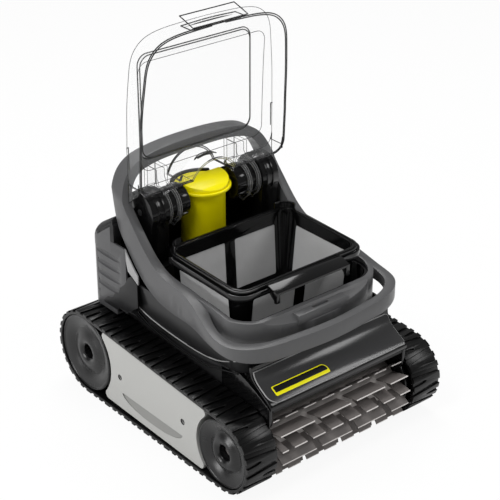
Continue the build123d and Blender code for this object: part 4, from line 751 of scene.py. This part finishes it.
# %% Both tracks
for side_name, low_x in (("left", band_low[0]), ("right", -band_high[0])):
    pads = wrapped_pads()
    track = join(pads, rubber_band("track_" + side_name))
    stand_up(track, low_x)
    bpy.ops.object.shade_smooth_by_angle(angle=radians(35))
    paint(track, LOOKS["track_rubber"])
    stand_for(track, "track_belt_" + side_name)
    corners = [corner.co for corner in track.data.vertices]
    print(track.name, "faces:", len(track.data.polygons), "box:",
          [(round(min(c[i] for c in corners), 4), round(max(c[i] for c in corners), 4))
           for i in range(3)])

# %% [markdown]
# ## All the mouldings at once
# Large casings have soft edges and small fittings have crisp ones, so the pieces are listed
# by the radius of their edges. A piece takes the finish of its slot, unless it is a
# separate moulding in another plastic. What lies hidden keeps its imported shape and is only
# painted. The tracks, the brush and the side panels are made in their own steps.

# %% Round the visible mouldings
# each row: edge radius in millimetres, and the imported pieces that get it
ROUNDED = {
    1.6: ["carry_frame", "rear_housing", "rear_cap", "upper_shell"],
    1.0: ["front_hood", "chassis_tub", "front_bracket_left", "front_bracket_right",
          "hood_trim", "filter_bay", "rear_deck", "hinge_shoulder_left",
          "hinge_shoulder_right", "bottom_plate"],
    0.6: ["basket_frame", "basket_handle", "hinge_barrel_left", "hinge_barrel_right",
          "outlet_tube", "outlet_scoop", "wheel_rear_left", "wheel_rear_right",
          "wheel_front_left", "wheel_front_right", "brush_core", "power_button"],
    0.8: ["lid"],
    0.5: ["side_screws", "lid_arm_left", "lid_arm_right"],
}
# the side screws down in their wells, and the wheel retainers and axle stubs in the hub holes,
# are painted dark: painted shade of the wells and holes
LOOK_OF = {
    "front_hood": LOOKS["black_gloss"], "front_bracket_left": LOOKS["black_gloss"],
    "front_bracket_right": LOOKS["black_gloss"], "wheel_retainers": LOOKS["black_gloss"],
    "axle_stubs": LOOKS["black_gloss"], "rear_cap": LOOKS["dark_body"],
    "side_screws": LOOKS["battery_case"], "upper_shell": LOOKS["shell_dark"],
    "rear_housing": LOOKS["housing_grey"],
}
mouldings = {}
for edge_mm, members in ROUNDED.items():
    for member in members:
        mouldings[member] = rounded(member, edge_mm * MM, LOOK_OF.get(member))
print("rounded pieces:", len(mouldings))

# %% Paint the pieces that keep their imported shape
OWN_STEP = ("track_belt_left", "track_belt_right", "brush_blades", "side_panel_left",
            "side_panel_right")
kept_plain = [node for node in nodes if node not in mouldings and node not in OWN_STEP]
for node in kept_plain:
    paint(nodes[node], LOOK_OF.get(node, LOOKS[slot_of(node)]))
print("pieces painted in their packed shape:", len(kept_plain))

# %% [markdown]
# ## Brush
# The roller carries rubber paddles in rows. Rows of wide paddles take turns with rows of
# narrow ones, so no dirt slips through the gaps. Each paddle leans a little, and its tip
# face is painted paler than its moulded faces, a painted highlight where the light falls on
# it. A paddle is shaped from a cube, the paddles of a row are joined, and the two kinds of
# row are copied round the roller in turn.

# %% Paddles
brush_low, brush_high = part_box("brush_blades")
PADDLE_TIP = (brush_high[2] - brush_low[2]) / 2 + 0.9 * MM
PADDLE_ROOT, SLEEVE_RADIUS = 28.0 * MM, 29.2 * MM
PADDLE_THICK, PADDLE_LEAN, TIP_THINNING = 2.8 * MM, radians(16), 0.62
# each paddle from its left to its right end in millimetres
WIDE_ROW = [(-117, -56), (-45.5, 10.5), (21, 75.5), (86, 120)]
NARROW_ROW = [(-119, -108), (-97.5, -75), (-64.5, -42), (-31.5, -9), (1.5, 24), (34.5, 57),
              (67.5, 90), (100.5, 120)]
ROW_COUNT, FIRST_ROW = 16, radians(46)
# the second look paints the paddle tips pale: a painted highlight where the light falls
BRUSH_LOOKS = (LOOKS["brush_rubber"],
               plastic("paddle_tip_painted_highlight", (0.72, 0.69, 0.67), 0.5, drift=0.15,
                       grain_depth=0.1, specular=0.3),
               plastic("brush_sleeve", (0.36, 0.335, 0.32), 0.5, drift=0.15,
                       grain_depth=0.2, specular=0.3))
MOULDED_FACE, TIP_HIGHLIGHT_FACE, SLEEVE_FACE = 0, 1, 2


def paddle(low_x, high_x):
    """Paddle that stands on the axle line, root below and its leaning tip above."""
    length = PADDLE_TIP * cos(PADDLE_LEAN) - PADDLE_ROOT
    bpy.ops.object.select_all(action="DESELECT")
    bpy.ops.mesh.primitive_cube_add(size=1, scale=(high_x - low_x, PADDLE_THICK, length),
                                    location=((low_x + high_x) / 2, 0, PADDLE_ROOT + length / 2))
    made = bpy.context.object
    made.name = "paddle"
    settle(made)
    paint(made, *BRUSH_LOOKS)
    clear_choice("FACE")
    # the tip faces take the painted highlight
    for face in made.data.polygons:
        face.select = face.normal.z > 0.9
        face.material_index = TIP_HIGHLIGHT_FACE if face.select else MOULDED_FACE
    bpy.ops.object.mode_set(mode="EDIT")
    bpy.ops.transform.resize(value=(1, TIP_THINNING, 1))
    bpy.ops.transform.translate(value=(0, -PADDLE_TIP * sin(PADDLE_LEAN), 0))
    bpy.ops.object.mode_set(mode="OBJECT")
    round_edges(made, 0.35 * MM, radians(30), segments=1)
    apply_modifiers(made)
    return made


def paddle_row(spans):
    return join(*(paddle(low * MM, high * MM) for low, high in spans))


print("paddles reach", round(PADDLE_TIP, 4), "from the axle")

# %% The roller with all its rows
axle_place = Matrix.Translation((0, front_middle.x, front_middle.y))
wide, narrow = paddle_row(WIDE_ROW), paddle_row(NARROW_ROW)
rows = []
for row_index in range(ROW_COUNT):
    row = copy_of(narrow if row_index % 2 else wide)
    turn = Matrix.Rotation(FIRST_ROW + row_index * 2 * pi / ROW_COUNT, 4, "X")
    row.matrix_world = axle_place @ turn
    settle(row)
    rows.append(row)
bpy.data.objects.remove(wide)
bpy.data.objects.remove(narrow)
bpy.ops.object.select_all(action="DESELECT")
bpy.ops.mesh.primitive_cylinder_add(vertices=64, radius=SLEEVE_RADIUS,
                                    depth=brush_high[0] - brush_low[0],
                                    location=(0, front_middle.x, front_middle.y),
                                    rotation=(0, pi / 2, 0))
sleeve = bpy.context.object
settle(sleeve)
paint(sleeve, *BRUSH_LOOKS)
for face in sleeve.data.polygons:
    face.material_index = SLEEVE_FACE
brush = join(*rows, sleeve)
brush.name = "brush_paddles"
bpy.ops.object.shade_smooth_by_angle(angle=radians(30))
stand_for(brush, "brush_blades")
print("brush rows:", ROW_COUNT, "faces:", len(brush.data.polygons))

# %% [markdown]
# ## Front hood
# Over the brush lies a hood: a black frame with a glossy panel set on it and a fine bright
# line round the panel, a painted highlight of its edge. Panel and line are flat sheets with
# rounded corners that are shrunk on to the hood's curve and thickened. The line is the rim
# of a second sheet, painted light grey, a little larger than the panel and a little lower,
# which is simpler than a thin frame.

# %% Sheets laid on a curved moulding
HOOD_SLOPE = radians(46)
HOOD_PANEL_MIDDLE = Vector((0, -0.1822, 0.1468))
SHEET_DROP, SHEET_ROOT = 12 * MM, 0.4 * MM    # start above the hood, and depth sunk in it
SHEET_STRIPS = 12                             # strips across, so the sheet can follow a curve


def laid_sheet(name, middle, width, length, corners, under, thickness, rim):
    """A sheet with chosen corners rounded, laid on the piece under it, thickened outwards."""
    bpy.ops.object.select_all(action="DESELECT")
    bpy.ops.mesh.primitive_plane_add(size=1)
    sheet = bpy.context.object
    sheet.name = name
    sheet.scale = (width, length, 1)
    settle(sheet)
    for radius, chosen in corners:
        clear_choice("VERT")
        for point in sheet.data.vertices:
            point.select = any(
                (point.co - Vector((x * width / 2, y * length / 2, 0))).length < 1e-6
                for x, y in chosen)
        bpy.ops.object.mode_set(mode="EDIT")
        bpy.ops.mesh.bevel(offset=radius, segments=7, affect="VERTICES")
        bpy.ops.object.mode_set(mode="OBJECT")
    bpy.ops.object.mode_set(mode="EDIT")
    for cut in range(1, SHEET_STRIPS):
        bpy.ops.mesh.select_all(action="SELECT")
        bpy.ops.mesh.bisect(plane_co=(0, length * (cut / SHEET_STRIPS - 0.5), 0),
                            plane_no=(0, 1, 0))
    bpy.ops.object.mode_set(mode="OBJECT")
    over = Vector((0, -sin(HOOD_SLOPE), cos(HOOD_SLOPE))) * SHEET_DROP
    sheet.matrix_world = Matrix.Translation(middle + over) @ Matrix.Rotation(HOOD_SLOPE, 4, "X")
    settle(sheet)
    wrap = sheet.modifiers.new("lay", "SHRINKWRAP")
    wrap.target = under
    wrap.wrap_method = "PROJECT"
    wrap.use_negative_direction = True
    wrap.use_positive_direction = False
    wall = sheet.modifiers.new("thickness", "SOLIDIFY")
    wall.thickness = thickness + SHEET_ROOT
    wall.offset = thickness / (thickness + SHEET_ROOT) * 2 - 1
    round_edges(sheet, rim, radians(50), segments=3)
    apply_modifiers(sheet)
    bpy.ops.object.shade_smooth_by_angle(angle=radians(40))
    return sheet


print("hood slope:", round(HOOD_SLOPE, 3), "radians")

# %% Hood panel and its bright line
PANEL_WIDTH, PANEL_LENGTH, LINE_GROWTH = 0.2455, 0.049, 1.8 * MM
LOWER_LEFT, RIGHT_CORNERS = [(-1, -1)], [(1, -1), (1, 1)]


def carry(piece, node):
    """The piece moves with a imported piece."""
    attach(piece, BODY_OF[node])


hood_panel = laid_sheet("hood_panel", HOOD_PANEL_MIDDLE, PANEL_WIDTH, PANEL_LENGTH,
                        [(14 * MM, LOWER_LEFT), (5 * MM, RIGHT_CORNERS)],
                        nodes["front_hood"], 2.0 * MM, 1.4 * MM)
paint(hood_panel, LOOKS["body_grey"])
hood_line = laid_sheet("hood_line", HOOD_PANEL_MIDDLE, PANEL_WIDTH + LINE_GROWTH,
                       PANEL_LENGTH + LINE_GROWTH,
                       [(14.9 * MM, LOWER_LEFT), (5.9 * MM, RIGHT_CORNERS)],
                       nodes["front_hood"], 1.5 * MM, 0.3 * MM)
# the line's sheet is painted light grey: a painted highlight round the panel's edge
paint(hood_line, plastic("hood_line_painted_highlight", (0.35, 0.35, 0.35), 0.3, drift=0.05,
                         specular=0.5))
carry(hood_line, "front_hood")
carry(hood_panel, "front_hood")
print("hood panel faces:", len(hood_panel.data.polygons))

# %% [markdown]
# ## Badge plate
# A small plate sits in the hood's lower left corner: black, with a yellow line round it
# and a yellow band along its foot. It is two laid sheets, the black one over the yellow
# one and set a little higher up the slope. It stays bare.

# %% Bare badge plate
badge_black = plastic("badge_black", (0.004, 0.004, 0.004), 0.25, specular=0.4)
badge_yellow = plastic("badge_yellow", (0.95, 0.88, 0.0), 0.35, drift=0.03, specular=0.3)
BADGE_MIDDLE = Vector((-0.0615, -0.1885, 0.1395))
UPPER_RIGHT, OTHER_CORNERS = [(1, 1)], [(-1, 1), (-1, -1), (1, -1)]


def badge_sheet(name, width, length, rise, wide_corner, small_corner, look, height):
    along = Vector((0, cos(HOOD_SLOPE), sin(HOOD_SLOPE)))
    sheet = laid_sheet(name, BADGE_MIDDLE + along * rise, width, length,
                       [(wide_corner, UPPER_RIGHT), (small_corner, OTHER_CORNERS)],
                       hood_panel, height, 0.2 * MM)
    paint(sheet, look)
    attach(sheet, BODY_OF["front_hood"])


badge_sheet("badge_rim", 0.096, 0.0145, 0, 9 * MM, 2 * MM, badge_yellow, 0.6 * MM)
badge_sheet("badge_field", 0.0925, 0.0085, 1.6 * MM, 7 * MM, 1.2 * MM, badge_black, 1.0 * MM)
print("badge pieces: 2")

# %% [markdown]
# ## Fender trims
# Where the hull meets the track guard runs a fine bead, painted light grey as a painted
# highlight, and below it the dark edge of the guard. Both are rods bent along a smooth
# line: a curve with a round section, made a mesh at the end.

# %% Bent rods
# the bead is painted light grey: a painted highlight along the rod
bead_painted_highlight = plastic("bead_painted_highlight", (0.3, 0.3, 0.3), 0.3, drift=0.05, specular=0.5)
# places as (|x|, y, z) in millimetres, on the hull's skin
BEAD_LINE = [(131.4, 84, 161), (131.1, 64.6, 154.3), (130.8, 32, 150), (130.8, -14, 147.3),
             (131.6, -61, 148.5), (131.4, -94, 152.8), (132.4, -122, 163.6),
             (130.2, -140, 172.5)]
GUARD_LINE = [(130.6, 84, 150), (130.6, 64, 141), (130.6, 32, 135), (130.6, -14, 131.5),
              (130.6, -55, 132.5), (130.6, -90, 138), (130.6, -121, 148), (129.5, -140, 152)]


def drawn_line(name, places, kind="POLY", dimensions="3D"):
    """A curve object through places given in metres."""
    line = bpy.data.curves.new(name, "CURVE")
    line.dimensions = dimensions
    run = line.splines.new(kind)
    run.points.add(len(places) - 1)
    for point, place in zip(run.points, places):
        point.co = (*place, 1)
    drawn = bpy.data.objects.new(name, line)
    bpy.context.scene.collection.objects.link(drawn)
    return drawn


def as_mesh(drawn):
    pick(drawn)
    bpy.ops.object.convert(target="MESH")
    return bpy.context.object


def bent_rod(name, side, places_mm, radius, look):
    """Round rod along a smooth line through a few places, on one flank of the hull."""
    drawn = drawn_line(name, [(side * x * MM, y * MM, z * MM) for x, y, z in places_mm], "NURBS")
    drawn.data.bevel_depth = radius
    drawn.data.bevel_resolution = 3
    drawn.data.use_fill_caps = True
    run = drawn.data.splines[0]
    run.order_u = 3
    run.use_endpoint_u = True
    run.resolution_u = 8
    rod = as_mesh(drawn)
    bpy.ops.object.shade_smooth()
    paint(rod, look)
    carry(rod, "upper_shell")


for side_name, side in (("left", -1), ("right", 1)):
    bent_rod("fender_bead_" + side_name, side, BEAD_LINE, 0.9 * MM, bead_painted_highlight)
    bent_rod("fender_edge_" + side_name, side, GUARD_LINE, 1.3 * MM, LOOKS["black_gloss"])
print("fender trims: 4")

# %% [markdown]
# ## Edges of the clear lid
# A clear moulding is seen by its edges: light that enters a wall is led along inside it
# and leaves at its rims, so against a white wall each rim and bend is a fine dark line.
# The lid's sharp edges are picked out, drawn as thin rods and set on the lid, with that
# light and shade painted on them: painted shade darkest along the free rim and fainter at
# the bends behind it, a pale yellow painted glow round the notch at its foot, through which
# the yellow outlet shines, and mid grey painted highlights on the arms.

# %% Rods along sharp edges
NOTCH_HALF, NOTCH_TOP = 0.062, 0.356
SHARP_FROM = radians(34)


def edge_rods(node, name, radius, look, low_y, high_y, notch=None):
    """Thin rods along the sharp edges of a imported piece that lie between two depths."""
    skin = welded_copy(node, name)
    bpy.ops.object.mode_set(mode="EDIT")
    bpy.ops.mesh.select_mode(type="EDGE")
    bpy.ops.mesh.select_all(action="DESELECT")
    bpy.ops.mesh.edges_select_sharp(sharpness=SHARP_FROM)
    bpy.ops.object.mode_set(mode="OBJECT")
    # a bend shows once: its outward side is kept and its hollow side is left out
    solid = bmesh.new()
    solid.from_mesh(skin.data)
    for edge in solid.edges:
        first, last = (corner.co for corner in edge.verts)
        middle = (first + last) / 2
        outward = edge.is_manifold and edge.calc_face_angle_signed() > 0
        in_notch = abs(middle.x) < NOTCH_HALF and middle.z < NOTCH_TOP
        wanted = notch is None or in_notch == notch
        in_depth = low_y < (first.y + last.y) / 2 < high_y
        edge.select_set(edge.select and outward and wanted and in_depth)
    solid.to_mesh(skin.data)
    solid.free()
    bpy.ops.object.mode_set(mode="EDIT")
    bpy.ops.mesh.select_all(action="INVERT")
    bpy.ops.mesh.delete(type="EDGE_FACE")
    bpy.ops.mesh.select_all(action="SELECT")
    bpy.ops.mesh.delete_loose(use_verts=True, use_edges=False, use_faces=False)
    bpy.ops.object.mode_set(mode="OBJECT")
    bpy.ops.object.convert(target="CURVE")
    line = bpy.context.object
    line.data.bevel_depth = radius
    line.data.bevel_resolution = 1
    rods = as_mesh(line)
    bpy.ops.object.shade_smooth()
    paint(rods, look)
    carry(rods, node)
    print(name, "faces:", len(rods.data.polygons))


print("edges that turn by more than", round(SHARP_FROM, 3), "radians get a rod")

# %% The lid's lines
# dark rods along the lid's rim and bends: painted shade where the clear wall leads the light
# away
line_dark = clear("lid_rim_painted_shade", (0.004, 0.004, 0.005), 0.92)
line_grey = clear("lid_bend_painted_shade", (0.01, 0.01, 0.012), 0.6)
# pale yellow: a painted glow where the yellow outlet shines through the notch
line_pale = clear("lid_notch_painted_glow", (0.3, 0.29, 0.12), 0.7)
# mid grey for the arms' rods: a painted highlight on the clear arms
line_mid = clear("lid_arm_painted_highlight", (0.2, 0.2, 0.2), 0.75)
line_faint = clear("lid_panel_painted_shade", (0.02, 0.02, 0.022), 0.38)
# each row: name, rod radius, look, nearest and farthest depth, and whether in the notch
LID_LINES = [("lid_rim_line", 0.9 * MM, line_dark, 0.038, 0.079, False),
             ("lid_bend_line", 0.5 * MM, line_grey, 0.079, 0.0975, False),
             ("lid_panel_line", 0.4 * MM, line_faint, 0.0975, 0.2, False),
             ("lid_notch_line", 0.6 * MM, line_pale, 0.0, 0.2, True)]
for line_row in LID_LINES:
    edge_rods("lid", *line_row)
for side_name in ("left", "right"):
    edge_rods("lid_arm_" + side_name, "lid_arm_line_" + side_name, 0.5 * MM, line_mid, 0, 0.3)

# %% [markdown]
# ## Wheel dishes
# Each wheel shows a smooth turned face: a thin bright rim, a bowl that falls slowly and
# then steeply, and a rolled lip round the hub hole. A profile line is turned about the
# axle, which gives the even curves that carry long crescent highlights.

# %% Turned dishes
# each place: share of the rim's radius, and millimetres out from the wheel's face
DISH = [(0.995, -1.4), (0.985, 0.0), (0.955, 0.2), (0.94, -0.7), (0.90, -1.1), (0.84, -1.8),
        (0.78, -2.8), (0.72, -4.1), (0.66, -5.6), (0.60, -7.2), (0.54, -8.7), (0.48, -9.8),
        (0.43, -10.3), (0.385, -10.2), (0.35, -9.9), (0.325, -9.9), (0.308, -10.6),
        (0.30, -12.2), (0.298, -16.5), (0.32, -16.5), (0.42, -13.0), (0.6, -9.6), (0.8, -5.0),
        (0.99, -3.6)]
WHEEL_FACE_X = 0.178
TURN_STEPS = 96


def close_shell(piece):
    """Merges the doubled corners of a piece and turns its faces outwards."""
    pick(piece)
    bpy.ops.object.mode_set(mode="EDIT")
    bpy.ops.mesh.select_all(action="SELECT")
    bpy.ops.mesh.remove_doubles(threshold=1e-6)
    bpy.ops.mesh.normals_make_consistent(inside=False)
    bpy.ops.object.mode_set(mode="OBJECT")


def turned(name, profile, look):
    """A closed profile of (x, radius) places turned about the X axis."""
    drawn = drawn_line(name, [(x, radius, 0) for x, radius in profile])
    drawn.data.splines[0].use_cyclic_u = True
    piece = as_mesh(drawn)
    turn = piece.modifiers.new("turn", "SCREW")
    turn.axis = "X"
    turn.steps = TURN_STEPS
    turn.render_steps = TURN_STEPS
    turn.use_merge_vertices = True
    turn.merge_threshold = 1e-6
    apply_modifiers(piece)
    close_shell(piece)
    bpy.ops.object.shade_smooth_by_angle(angle=radians(50))
    paint(piece, look)
    return piece


for wheel in ("wheel_rear_left", "wheel_rear_right", "wheel_front_left", "wheel_front_right"):
    low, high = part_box(wheel)
    rim_radius = (high[1] - low[1]) / 2
    side = -1 if "left" in wheel else 1
    profile = [(side * (WHEEL_FACE_X + depth * MM), share * rim_radius) for share, depth in DISH]
    dish = turned(wheel + "_dish", profile, LOOKS["wheel_grey"])
    dish.location = (0, (low[1] + high[1]) / 2, (low[2] + high[2]) / 2)
    settle(dish)
    carry(dish, wheel)
print("wheel dishes: 4")

# %% [markdown]
# ## Side panels
# Low on each pale panel lies a long scoop, deepest along its straight upper edge, and two
# screws sit in round wells. Both are cut into a welded copy of the panel before its edges
# are rounded: the scoop with half of a flat oval disc tilted about its straight edge, the
# wells with short rods, and the cut faces of both are painted dark as painted shade. The
# imported panel's plain groove is first filled level.

# %% Left panel, filled and ready to cut
# the scoop's cut faces are painted a darker grey: painted shade of its sloping floor
panel_shade = plastic("panel_scoop_painted_shade", (0.23, 0.23, 0.22), 0.5, drift=0.04,
                      grain_depth=0.05)
# the groove's box, from its front lower corner on the skin to its rear upper one
GROOVE_FILL = (-0.1780, -0.075, 0.0195), (-0.1757, 0.064, 0.0465)


def box_between(low, high):
    bpy.ops.mesh.primitive_cube_add(size=1, location=[(a + b) / 2 for a, b in zip(low, high)])
    made = bpy.context.object
    made.scale = [b - a for a, b in zip(low, high)]
    settle(made)
    return made


panel = welded_copy("side_panel_left", "side_panel_left_moulding", merge_flats=False)
paint(panel, LOOKS["panel_light"])
filler = box_between(*GROOVE_FILL)
paint(filler, LOOKS["panel_light"])
combine(panel, filler, "UNION")
bpy.data.objects.remove(filler)
print("panel faces before the cuts:", len(panel.data.polygons))

# %% Scoop
# rear and front end of the scoop's straight edge, as (y, z)
SCOOP_ENDS = [(0.0634, 0.0415), (-0.0781, 0.0415)]
SCOOP_HEIGHT, SCOOP_DEPTH, SCOOP_DISC = 17.5 * MM, 1.9 * MM, 6 * MM


def cut_into(piece, cutter, look):
    """Takes the cutter out of the piece; the cut faces get the cutter's look, a painted shade.
    """
    paint(cutter, look)
    combine(piece, cutter, "DIFFERENCE", looks="TRANSFER")
    bpy.data.objects.remove(cutter)
    pick(piece)
    bpy.ops.object.shade_smooth_by_angle(angle=radians(30))


(rear_y, rear_z), (front_y, front_z) = SCOOP_ENDS
bpy.ops.mesh.primitive_cylinder_add(vertices=96, radius=1, depth=1)
cutter = bpy.context.object
cutter.scale = (abs(rear_y - front_y) / 2, SCOOP_HEIGHT, SCOOP_DISC)
settle(cutter)
bpy.ops.object.mode_set(mode="EDIT")
bpy.ops.mesh.select_all(action="SELECT")
bpy.ops.mesh.bisect(plane_co=(0, 0, 0), plane_no=(0, 1, 0), use_fill=True, clear_outer=True)
bpy.ops.object.mode_set(mode="OBJECT")
# the disc's own axes: X along the panel, Y up it, Z out of it
flat = Matrix(((0, 0, -1), (-1, 0, 0), (0, 1, 0))).to_4x4()
tilt = Matrix.Rotation(-atan2(SCOOP_DEPTH, SCOOP_HEIGHT), 4, "X")
sink = Matrix.Translation((SCOOP_DEPTH - WHEEL_FACE_X, (rear_y + front_y) / 2,
                           (rear_z + front_z) / 2))
cutter.matrix_world = sink @ flat @ tilt @ Matrix.Translation((0, 0, SCOOP_DISC / 2))
settle(cutter)
cut_into(panel, cutter, panel_shade)
print("scoop length:", round(abs(rear_y - front_y), 4))

# %% Screw wells and soft edges
# the wells' cut faces are painted dark grey: painted shade inside the round wells
well_shade = plastic("screw_well_painted_shade", (0.07, 0.07, 0.07), 0.45, drift=0.1)
SCREW_PLACES = [(0.068, 0.0655), (-0.079, 0.0655)]      # as (y, z)
for y, z in SCREW_PLACES:
    bpy.ops.mesh.primitive_cylinder_add(vertices=32, radius=4.6 * MM, depth=3.2 * MM,
                                        rotation=(0, radians(90), 0),
                                        location=(-WHEEL_FACE_X, y, z))
    cutter = bpy.context.object
    settle(cutter)
    cut_into(panel, cutter, well_shade)
pick(panel)
bpy.ops.object.mode_set(mode="EDIT")
bpy.ops.mesh.select_all(action="SELECT")
bpy.ops.mesh.dissolve_limited(angle_limit=FLAT_WITHIN, delimit={"MATERIAL"})
bpy.ops.object.mode_set(mode="OBJECT")
soften(panel, 1.0 * MM)
print("screw wells:", len(SCREW_PLACES))

# %% Right panel
# the left one mirrored, with its own mesh
other_panel = panel.copy()
other_panel.data = panel.data.copy()
bpy.context.scene.collection.objects.link(other_panel)
other_panel.name = "side_panel_right_moulding"
other_panel.data.name = "side_panel_right_moulding"
other_panel.data.transform(Matrix.Scale(-1, 4, (1, 0, 0)))
other_panel.data.flip_normals()
for side_name, piece in (("left", panel), ("right", other_panel)):
    stand_for(piece, "side_panel_" + side_name)
    print(piece.name, "faces:", len(piece.data.polygons))

# %% [markdown]
# ## Soft corners of the rear housing
# The housing is one soft block, and its top corners are rounded far more than its other
# edges. A bevel that wide would break up on thin walls, so the corners are made the other
# way round: a wedge with the wanted soft form is taken out of plain boxes, and what is
# left of each box trims the housing and its cap.

# %% A soft wedge
# middle of the slope's upper and lower edge
CREST, FOOT = Vector((0, 0.1235, 0.2892)), Vector((0, 0.1826, 0.2517))
SLOPE_NORMAL = Vector((0, CREST.z - FOOT.z, FOOT.y - CREST.y))
WEDGE_BOX = (-0.1431, 0.05, 0.05), (0.1431, 0.1826, 0.33)
UPRIGHT_ROUND, SLOPE_ROUND = 21.8 * MM, 16 * MM


def on_slope(point):
    return (point - FOOT).dot(SLOPE_NORMAL) > -1e-6


def rear_upright(a, b):
    return abs(a.x - b.x) < 1e-5 and abs(a.y - b.y) < 1e-5 and a.y > 0.18


def slope_rim(a, b):
    return on_slope(a) and on_slope(b) and (a.y + b.y) / 2 > 0.06


def soft_wedge():
    """The housing's soft outer form, from well below it to its sloping top."""
    wedge = box_between(*WEDGE_BOX)
    bpy.ops.object.mode_set(mode="EDIT")
    bpy.ops.mesh.select_all(action="SELECT")
    bpy.ops.mesh.bisect(plane_co=FOOT, plane_no=SLOPE_NORMAL, use_fill=True, clear_outer=True)
    bpy.ops.object.mode_set(mode="OBJECT")
    for width, belongs in ((UPRIGHT_ROUND, rear_upright), (SLOPE_ROUND, slope_rim)):
        clear_choice("EDGE")
        points = wedge.data.vertices
        for edge in wedge.data.edges:
            edge.select = belongs(*(points[index].co for index in edge.vertices))
        bpy.ops.object.mode_set(mode="EDIT")
        bpy.ops.mesh.bevel(offset=width, segments=8, affect="EDGES")
        bpy.ops.object.mode_set(mode="OBJECT")
    return wedge


print("the slope falls", round(CREST.z - FOOT.z, 4), "over", round(FOOT.y - CREST.y, 4))

# %% Trim the housing and its cap
# the boxes round the rear and both flanks whose outside is trimmed
TRIM_BOXES = [((-0.16, 0.15, 0.20), (0.16, 0.2, 0.33)),
              ((-0.16, 0.09, 0.2), (-0.112, 0.2, 0.33)),
              ((0.112, 0.09, 0.2), (0.16, 0.2, 0.33))]
for member in ("rear_housing", "rear_cap"):
    wedge = soft_wedge()
    for low, high in TRIM_BOXES:
        trimmer = box_between(low, high)
        combine(trimmer, wedge, "DIFFERENCE")
        combine(mouldings[member], trimmer, "DIFFERENCE")
        bpy.data.objects.remove(trimmer)
    bpy.data.objects.remove(wedge)
    pick(mouldings[member])
    bpy.ops.object.shade_smooth_by_angle(angle=radians(35))
    print(member, "faces:", len(mouldings[member].data.polygons))

# %% Crown
# it closes what the soft corners opened in the thin walls; only a frame of it is kept
CROWN_WASTE = [((-0.2, 0, 0), (0.2, 0.3, 0.2291)), ((-0.125, 0, 0.2), (0.125, 0.15, 0.35)),
               ((-0.2, 0, 0.2), (0.2, 0.128, 0.35))]
crown = soft_wedge()
crown.name = "housing_crown"
crown.data.name = "housing_crown"
for low, high in CROWN_WASTE:
    waste = box_between(low, high)
    combine(crown, waste, "DIFFERENCE")
    bpy.data.objects.remove(waste)
paint(crown, LOOKS["housing_grey"], LOOKS["dark_body"])
for face in crown.data.polygons:
    face.material_index = 1 if face.normal.z > 0.35 else 0
pick(crown)
bpy.ops.object.shade_smooth_by_angle(angle=radians(35))
carry(crown, "rear_cap")
print("crown faces:", len(crown.data.polygons))

# %% [markdown]
# ## Flanks of the rear housing
# Each flank carries four shallow level flutes and reaches forward to the carrying ring.
# The flutes are pressed in with long flat ellipsoids, which leave soft ends as a mould
# does. The forward reach is two flat plates, a dark skirt and a pale sliver over it, whose
# front edges follow the ring.

# %% A flat plate
PLATE_EDGE = 0.3 * MM


def plate(name, outline_mm, x_mm, thickness_mm, look):
    """A flat plate with softened edges that stands in the YZ plane."""
    drawn = drawn_line(name, [(y * MM, z * MM, 0) for y, z in outline_mm], dimensions="2D")
    drawn.data.fill_mode = "BOTH"
    drawn.data.bevel_depth = PLATE_EDGE
    drawn.data.bevel_resolution = 2
    drawn.data.extrude = thickness_mm / 2 * MM - drawn.data.bevel_depth
    drawn.data.splines[0].use_cyclic_u = True
    made = as_mesh(drawn)
    made.matrix_world = Matrix(((0, 0, 1, x_mm * MM), (1, 0, 0, 0), (0, 1, 0, 0), (0, 0, 0, 1)))
    settle(made)
    close_shell(made)
    bpy.ops.object.shade_smooth_by_angle(angle=radians(35))
    paint(made, look)
    return made


print("plate edges are rounded by", PLATE_EDGE)

# %% Level flutes
# outline as (y, z) in millimetres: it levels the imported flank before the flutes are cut
FLANK_FILL = [(100, 150), (160, 150), (160, 244), (100, 244)]
FLUTE_COUNT, FLUTE_PITCH, LOWEST_FLUTE = 4, 0.0175, 0.172
FLUTE_X, FLUTE_Y, FLUTE_SIZE = 0.1462, 0.137, (5.4 * MM, 40 * MM, 5.2 * MM)
NOTCH_X, NOTCH_REACH = 0.143, 0.017       # the cut-away lower front corner of a flank
housing = mouldings["rear_housing"]
for side in (-1, 1):
    fill = plate("fill", FLANK_FILL, side * 141.9, 2.3, LOOKS["housing_grey"])
    combine(housing, fill, "UNION")
    bpy.data.objects.remove(fill)
    for flute in range(FLUTE_COUNT):
        bpy.ops.mesh.primitive_uv_sphere_add(
            segments=32, ring_count=16, radius=1,
            location=(side * FLUTE_X, FLUTE_Y, LOWEST_FLUTE + flute * FLUTE_PITCH))
        cutter = bpy.context.object
        cutter.scale = FLUTE_SIZE
        settle(cutter)
        combine(housing, cutter, "DIFFERENCE")
        bpy.data.objects.remove(cutter)
    notch = box_between((side * NOTCH_X - NOTCH_REACH, 0.085, 0.13),
                        (side * NOTCH_X + NOTCH_REACH, 0.118, 0.1475))
    combine(housing, notch, "DIFFERENCE")
    bpy.data.objects.remove(notch)
pick(housing)
bpy.ops.object.shade_smooth_by_angle(angle=radians(35))
print("housing faces:", len(housing.data.polygons))

# %% Skirt and sliver plates
pale_sliver = plastic("pale_sliver", (0.3, 0.3, 0.3), 0.4, drift=0.05)
# outlines as (y, z) in millimetres
SKIRT = [(66, 168), (66, 204), (80, 212.5), (87, 207), (97, 192), (108, 183), (112, 172),
         (122, 168), (128, 158), (140, 155), (151, 146), (148, 143), (119, 143), (110, 149),
         (92.5, 149)]
SLIVER = [(65, 205), (65, 218), (76, 228.5), (88, 242), (94, 249), (92, 232), (88, 218),
          (80, 213)]
for side_name, side in (("left", -1), ("right", 1)):
    skirt = plate("housing_skirt_" + side_name, SKIRT, side * 142.6, 2.2, LOOKS["dark_body"])
    carry(skirt, "rear_housing")
    sliver = plate("housing_sliver_" + side_name, SLIVER, side * 141.6, 2.2, pale_sliver)
    carry(sliver, "rear_housing")
print("flank plates: 4")
